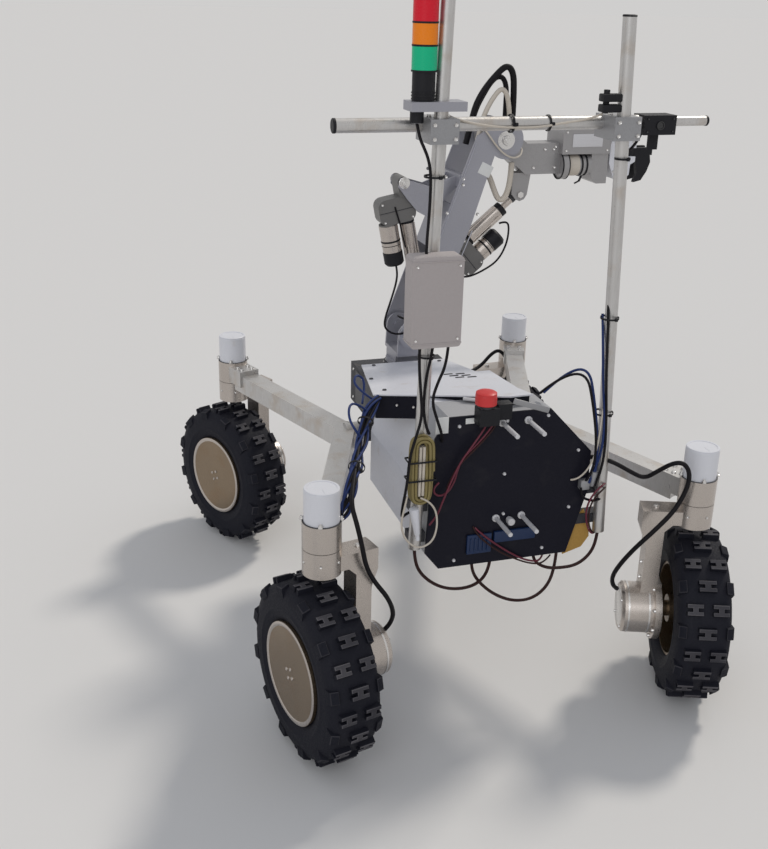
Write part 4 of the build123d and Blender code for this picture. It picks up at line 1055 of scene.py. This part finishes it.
# %% [markdown]
# The arm is two plates tied by bars, so every pin and bar ends in a bolt outside the plate. The bolts ride
# on the body whose plate they are in.

# %% Arm plates and pivots
ARM_Y, ARM_HALF, DRUM_TOP_Z = 210, 56, 482
SHOULDER, ELBOW = (-8, 555), (183, 962)
LIFT_PIN, LIFT_EYE = (-26, 876), (40, 548)
BEND_PIN, BEND_EYE = (67, 692), (240, 842)
PIVOTS = (
    # place, half the width over the plates, nut
    (ELBOW, ARM_HALF, 11), (SHOULDER, ARM_HALF, 10), (BEND_PIN, ARM_HALF, 7), (LIFT_PIN, 29, 7),
)
ARM_SCREWS = ((92.5, 874), (92.5, 886), (52, 646), (52, 659), (54, 891), (60, 817), (128, 812), (30, 596))


def add_pivot(form, x, z, half, r):
    """A washer, a domed nut and a stub on both sides of the arm's middle plane."""
    for way in BOTH:
        out = way * FORWARD
        face = Vector((x, ARM_Y + way * half, z))
        add_lathe(form, [(0.4, 0), (1.7 * r, 0), (1.7 * r, 1.6), (1.55 * r, 2.2), (0.4, 2.2)], face, out, 40)
        add_rod(form, face + out * 2, face + out * (2 + 0.75 * r), r, 6, edge=0.1 * r)
        add_rod(form, face + out * (1.5 + 0.75 * r), face + out * (4.5 + 0.75 * r), 0.55 * r, 24, edge=0.6)


def add_pairs(form, spots, half, r, tall, sides):
    """The same screws on both sides of the arm's middle plane."""
    for x, z in spots:
        for way in BOTH:
            add_screw(form, (x, ARM_Y + way * half, z), way * FORWARD, r, tall, sides)


def add_eye_nuts(form, eye):
    """A nut at each end of the pin through an actuator's eye."""
    for way in BOTH:
        add_rod(form, (eye[0], ARM_Y + way * 15, eye[1]), (eye[0], ARM_Y + way * 20, eye[1]), 7.5, 6, edge=0.7)


with making("arm_bolts", "bright_steel", "steel", "upper_arm") as bolts:
    for at, half, r in PIVOTS:
        add_pivot(bolts, *at, half, r)
    add_pairs(bolts, ARM_SCREWS, ARM_HALF, 3.6, 2.4, 16)
with making("arm_plate_folds", "alloy_plate", "bare_alloy", "upper_arm") as folds:
    for way in BOTH:
        face = ARM_Y + way * (ARM_HALF + 0.6)
        for (x0, z0), (x1, z1) in (((-22, 573), (118, 958)), ((34, 566), (118, 778))):
            add_rod(folds, (x0, face, z0), (x1, face, z1), 1.3, 10)
with making("arm_label", "label_white", "white_fitting", "upper_arm",
            place=Matrix.Translation((141, 153.8, 903)) @ Matrix.Rotation(radians(25), 4, "Y")) as label:
    add_block(label, (-14, -0.5, -12), (14, 0.5, 12), 0.3)
with making("turret_bolts", "bright_steel", "steel", "turret") as bolts:
    for way in BOTH:
        add_ring(bolts, (SHOULDER[0], ARM_Y + way * 45, SHOULDER[1]), way * FORWARD, 12, 21, 0, 1.6, 40)
    add_eye_nuts(bolts, LIFT_EYE)
    for dx in (-24, 26):
        for dy in (-25, 25):
            add_hex(bolts, (dx, ARM_Y + dy, DRUM_TOP_Z + 1), UP, 4, 3.6)
with making("drum_rings", "bright_steel", "steel") as drum:
    for dx, dy in around(8, 22.5, 45):
        add_screw(drum, (dx, ARM_Y + dy, DRUM_TOP_Z), UP, 2.8, 1.6, 16)
    for z in (466, 478):
        add_ring(drum, (0, ARM_Y, z), UP, 49, 50.8, -0.8, 0.8, 64)
print("arm bolts", 2 * (len(PIVOTS) + len(ARM_SCREWS)))

# %% [markdown]
# Each linear actuator is dressed along its own axis: points are given as a distance from its pin and a
# distance across, which saves working out any angle. Its motor can lies beside its tube.

# %% Linear actuators
CAN_ACROSS, CAN_FROM = -41.5, 84
ACTUATORS = (
    # body, rod, pin, eye, end of the tube and of the motor can from the pin
    ("lift_body", "lift_rod", LIFT_PIN, LIFT_EYE, 205, 168),
    ("bend_body", "bend_rod", BEND_PIN, BEND_EYE, 182, 140),
)


def act_spot(pin, eye, s, t=0, y=0):
    """A point at s along an actuator from its pin and t across it, and y off its middle plane."""
    u = Vector((eye[0] - pin[0], eye[1] - pin[1])).normalized()
    return Vector((pin[0] + u.x * s - u.y * t, ARM_Y + y, pin[1] + u.y * s + u.x * t))


def trim_actuator(body, pin, eye, tube_to, can_to, ease=0.8):
    """Sleeves, bands, screws and a seam on one actuator's body."""
    way = act_spot(pin, eye, 1) - act_spot(pin, eye, 0)
    can_end = can_to - 26

    def sleeve(form, s0, s1, t, r_in, r_out):
        long = s1 - s0
        add_lathe(form, [(r_in, 0), (r_out - ease, 0), (r_out, ease), (r_out, long - ease), (r_out - ease, long),
                         (r_in, long)], act_spot(pin, eye, s0, t), way)

    with making(body + "_sleeves", "alloy_turned", "bare_alloy", body) as bright:
        sleeve(bright, 88, tube_to - 9, 0, 13.5, 14.6)
        for t, y in around(8, 22.5, 14.9):
            add_rod(bright, act_spot(pin, eye, 90, t, y), act_spot(pin, eye, tube_to - 10, t, y), 1.5, 8)
        sleeve(bright, CAN_FROM, can_end, CAN_ACROSS, 19, 20.1)
    with making(body + "_bands", "black_plastic", "black_plastic", body) as dark:
        sleeve(dark, tube_to - 9, tube_to + 2.5, 0, 7.6, 15.6)
        sleeve(dark, 82.5, 88, 0, 13.6, 16)
        middle = CAN_FROM + (can_end - CAN_FROM) * 0.55
        sleeve(dark, middle, middle + 4, CAN_ACROSS, 19, 20.9)
        sleeve(dark, middle + 10, middle + 12, CAN_ACROSS, 19, 20.7)
        add_lathe(dark, [(18.5, 0), (21, 0), (21, 24), (17, 29), (0.4, 29), (0.4, 26.5), (18.5, 26.5)],
                  act_spot(pin, eye, can_end, CAN_ACROSS), way)
    with making(body + "_screws", "bright_steel", "steel", body) as screws:
        for s in (36, 74):
            for t in (9, -52):
                for side in BOTH:
                    add_screw(screws, act_spot(pin, eye, s, t, side * 20), side * FORWARD, 2.8, 1.8, 14)
    with making(body + "_seams", "dark_cast", "grey_casting", body) as seam:
        for side in BOTH:
            add_rod(seam, act_spot(pin, eye, 55, 17, side * 20), act_spot(pin, eye, 55, -60, side * 20), 0.9, 8)


for body, _, pin, eye, tube_to, can_to in ACTUATORS:
    trim_actuator(body, pin, eye, tube_to, can_to)
for _, rod, pin, eye, _, _ in ACTUATORS:
    with making(rod + "_nut", "dark_cast", "steel", rod) as nut:
        reach = hypot(eye[0] - pin[0], eye[1] - pin[1])
        add_rod(nut, act_spot(pin, eye, reach - 20), act_spot(pin, eye, reach - 11), 9.6, 6, edge=0.8)
print("actuators", len(ACTUATORS))

# %% [markdown]
# The forearm's motor can is pale, with two dark straps round its end. The wrist is closed by a ring, and
# the gripper's shell is held by screws on both sides.

# %% Forearm and gripper fittings
CAN_Y, CAN_Z = 191, 903
FOREARM_SCREWS = ((286, 938), (306, 938), (310, 943), (262, 900), (310, 900))
with making("can_sleeve", "cable_cream", "white_fitting", "forearm") as can:
    add_lathe(can, [(21.5, 0), (22.3, 0), (22.7, 0.6), (22.7, 26), (22.3, 26.6), (21.5, 26.6)], (338, CAN_Y, CAN_Z),
              RIGHT, 56)
with making("can_straps", "black_plastic", "black_plastic", "forearm") as straps:
    for x in (368, 379):
        add_ring(straps, (x, CAN_Y, CAN_Z), RIGHT, 21.6, 23.6, 0, 3.4)
    for x in (322.5, 337):
        add_ring(straps, (x, CAN_Y, CAN_Z), RIGHT, 27, 29.8, -0.8, 0.8, 56)
    add_rod(straps, (372, 178, 880), (364, 170, 872), 2.4, 12)
    add_rod(straps, (364, 170, 872), (352, 166, 868), 1.8, 12)
with making("forearm_screws", "bright_steel", "steel", "forearm") as screws:
    for x, z in FOREARM_SCREWS:
        add_screw(screws, (x, 186, z), BACK, 3.4, 2.6, 16)
    add_pairs(screws, [(x, z) for x in (328, 424) for z in (936, 974)], 40, 2.8, 1.8, 14)
    add_eye_nuts(screws, BEND_EYE)
with making("forearm_covers", "satin_light", "bare_alloy", "forearm") as covers:
    for y in (ARM_Y - 40.8, ARM_Y + 40.8):
        add_block(covers, (342, y - 1, 943), (412, y + 1, 970), 0.8)
    for z in (950, 957, 964):
        add_block(covers, (350, 168, z - 1.2), (404, 169, z + 1.2), 0.3)
    add_ring(covers, (429, ARM_Y, 935), RIGHT, 27.5, 31, 0, 3.5, 56)
with making("gripper_screws", "bright_steel", "steel", "gripper") as grip:
    add_pairs(grip, ((449, 950), (492, 950), (449, 888), (482, 912)), 30, 2.8, 1.8, 14)
    for dy in (-16, 16):
        add_hex(grip, (492, ARM_Y + dy, 958), UP, 4.5, 4)
print("forearm screws on the near side", len(FOREARM_SCREWS))

# %% [markdown]
# The arm's own leads cross its joints. A dark loop stands up over the elbow with a pale sleeve inside it,
# and thinner ones hang at the actuators. Each bends between the two bodies that it joins.

# %% Leads on the arm
ARM_LEADS = (
    # name, radius, finish, points, bodies, start and end of the bend
    ("elbow_loop", 6.5, "cable_black", (
        (112, 200, 950), (119, 197, 985), (127, 195, 1026), (143, 195, 1056), (166, 195, 1084), (192, 195, 1108),
        (208, 195, 1092), (211, 195, 1050), (212, 196, 1010), (212, 198, 980), (210, 200, 962),
    ), ("upper_arm", "forearm"), (126, 195, 1010), (212, 196, 1010)),
    ("elbow_loop_inner", 5.5, "cable_black", (
        (120, 214, 956), (128, 212, 990), (136, 210, 1022), (148, 208, 1046), (160, 206, 1068), (175, 205, 1084),
        (190, 205, 1082), (198, 204, 1062), (198, 203, 1030), (198, 203, 1000), (199, 203, 976), (199, 204, 964),
    ), ("upper_arm", "forearm"), (136, 210, 1010), (198, 203, 1010)),
    ("elbow_sleeve", 5.0, "cable_cream", (
        (128, 178, 958), (136, 180, 990), (144, 180, 1016), (158, 180, 1042), (176, 180, 1064), (190, 180, 1052),
        (197, 180, 1018), (200, 182, 985), (203, 187, 966),
    ), ("upper_arm", "forearm"), (144, 180, 1000), (198, 180, 1000)),
    ("elbow_arc", 1.9, "cable_cream", (
        (128, 152, 990), (142, 149, 974), (156, 146, 955), (174, 145, 937), (194, 145, 927), (212, 147, 929),
        (221, 156, 938), (224, 170, 946), (222, 185, 950),
    ), ("upper_arm", "forearm"), (140, 149, 975), (220, 155, 938)),
    ("elbow_strap", 6.0, "cable_cream", (
        (212, 186, 912), (211, 184, 884), (206, 183, 852), (196, 183, 834), (184, 183, 836), (174, 185, 858),
        (164, 190, 886), (152, 196, 904),
    ), ("forearm", "upper_arm"), (208, 184, 870), (168, 188, 870)),
    ("bend_lead", 2.2, "cable_black", (
        (192, 186, 784), (204, 178, 790), (210, 172, 780), (206, 170, 742), (186, 168, 706), (150, 166, 686),
        (118, 162, 676), (94, 158, 680), (70, 155, 668), (52, 155, 664),
    ), ("bend_body", "upper_arm"), (208, 170, 770), (110, 160, 676)),
    ("lift_lead", 2.2, "cable_black", (
        (-33, 204, 704), (-34, 188, 692), (-41, 168, 674), (-56, 156, 638), (-70, 151, 602), (-72, 150, 580),
        (-56, 149, 566), (-34, 150, 562), (-14, 152, 566),
    ), ("lift_body", "upper_arm"), (-38, 176, 682), (-68, 151, 596)),
)
for name, r, finish, route, bodies, start, end in ARM_LEADS:
    bending_cable(name, route, r, finish, bodies, start, end)
cable("lift_thin_lead", [[(-42, 189, 826), (-38, 188, 812), (-30, 188, 790), (-24, 189, 765), (-16, 192, 740)]], 1.8,
      "cable_black", body="lift_body")
cable("arm_tie", [[
    (-38, 151, 600), (-41, 156, 602), (-38, 161, 600), (-8, 161.5, 586), (24, 161, 571), (27, 156, 570),
    (24, 151, 571), (-8, 150.5, 586), (-38, 151, 600),
]], 1.5, "cable_black", "upper_arm")
print("leads across the arm's joints", len(ARM_LEADS))

# %% [markdown]
# The hood has four latch screws, six slots over the warm parts, and a hinge in two parts along the back
# edge. The frame under it shows small screws on its black skirt, whose black is partly painted shade under the
# hood, and the chassis has bolted covers at the front, where such a vehicle keeps its batteries; the chassis'
# dark tone is partly painted shade under the body.

# %% Hood, frame and chassis fittings
HOOD_SLOPE = radians(11)
HOOD_NORMAL = Vector((0, sin(HOOD_SLOPE), cos(HOOD_SLOPE)))
HOOD_SLOTS = ((-3, -60), (0, -84), (3, -108), (20, -66), (23, -90), (26, -114))
SENSOR_X = 229


def on_hood(x, y):
    """A point on the hood's upper face, which falls towards the front."""
    return Vector((x, y, 582.2 + (y + 270) * -0.1944))


with making("hood_slots", "black_plastic", "black_plastic") as slots:
    half = Vector((9, 2.4, 0.7))
    for x, y in HOOD_SLOTS:
        add_block(slots, on_hood(x, y) - half, on_hood(x, y) + half, 0.6, Matrix.Rotation(-HOOD_SLOPE, 4, "X"))
with making("hood_latches", "dark_cast", "black_plastic") as latch:
    for x, y in ((-157, -44), (-172, -180), (44, 120), (-100, 128)):
        add_screw(latch, on_hood(x, y) - HOOD_NORMAL * 0.3, HOOD_NORMAL, 4.2, 2.2)
with making("hood_hinge", "satin_light", "steel") as hinge:
    for x0, x1 in ((-66, -40), (-26, 0)):
        add_rod(hinge, (x0, -303, 583), (x1, -318, 583), 3.2, 20, edge=0.5)
with making("frame_screws", "bright_steel", "steel") as skirt:
    for at in ((-166, -237, 556), (-140, -253, 556), (-112, -270, 557)):
        add_screw(skirt, at, (-0.53, -0.85, 0), 2.6, 1.6, 14)
    for x in (-90, 0, 90):
        for z in (388, 446):
            add_hex(skirt, (x, 292, z), FORWARD, 4, 3.4)
    for way in BOTH:
        for y in (40, 120, 200, 270):
            for z in (384, 450):
                add_screw(skirt, (way * 104, y, z), way * RIGHT, 3.2, 2, 16)
# the covers' dark tone matches the chassis, partly painted shade under the body
with making("chassis_covers", "dark_cast", "dark_frame") as panels:
    add_block(panels, (-96, 291, 380), (96, 293.5, 454), 1)
    for x in (-105.4, 103):
        add_block(panels, (x, 60, 380), (x + 2.4, 250, 454), 0.8)
with making("switch_box", "black_plastic", "black_plastic") as box:
    add_block(box, (-36, -390, 572), (-9, -369, 601), 2)
with making("clamp_connector", "black_plastic", "black_plastic") as socket:
    for z in (1080, 1096):
        add_block(socket, (114, -380, z - 6), (147, -360, z + 6), 2)
    add_rod(socket, (124, -368, 1072), (124, -368, 1108), 5, 20, edge=0.6)
with making("sensor_face", "black_gloss", "black_plastic") as face:
    add_lathe(face, [(0.3, 0), (7, 0), (7, 2), (5.4, 2), (4.8, 0.8), (0.3, 0.8)], (SENSOR_X, -362, 1051), BACK, 40)
    for dx in (-23, 23):
        for z in (1041.5, 1061.5):
            add_screw(face, (SENSOR_X + dx, -362, z), BACK, 1.8, 1.2, 12)
print("hood slots", len(HOOD_SLOTS))

# %% [markdown]
# The last cell prints the lengths kept for the leads, in millimetres.

# %% Close the lesson
print("cords in millimetres", CORD_LENGTHS)
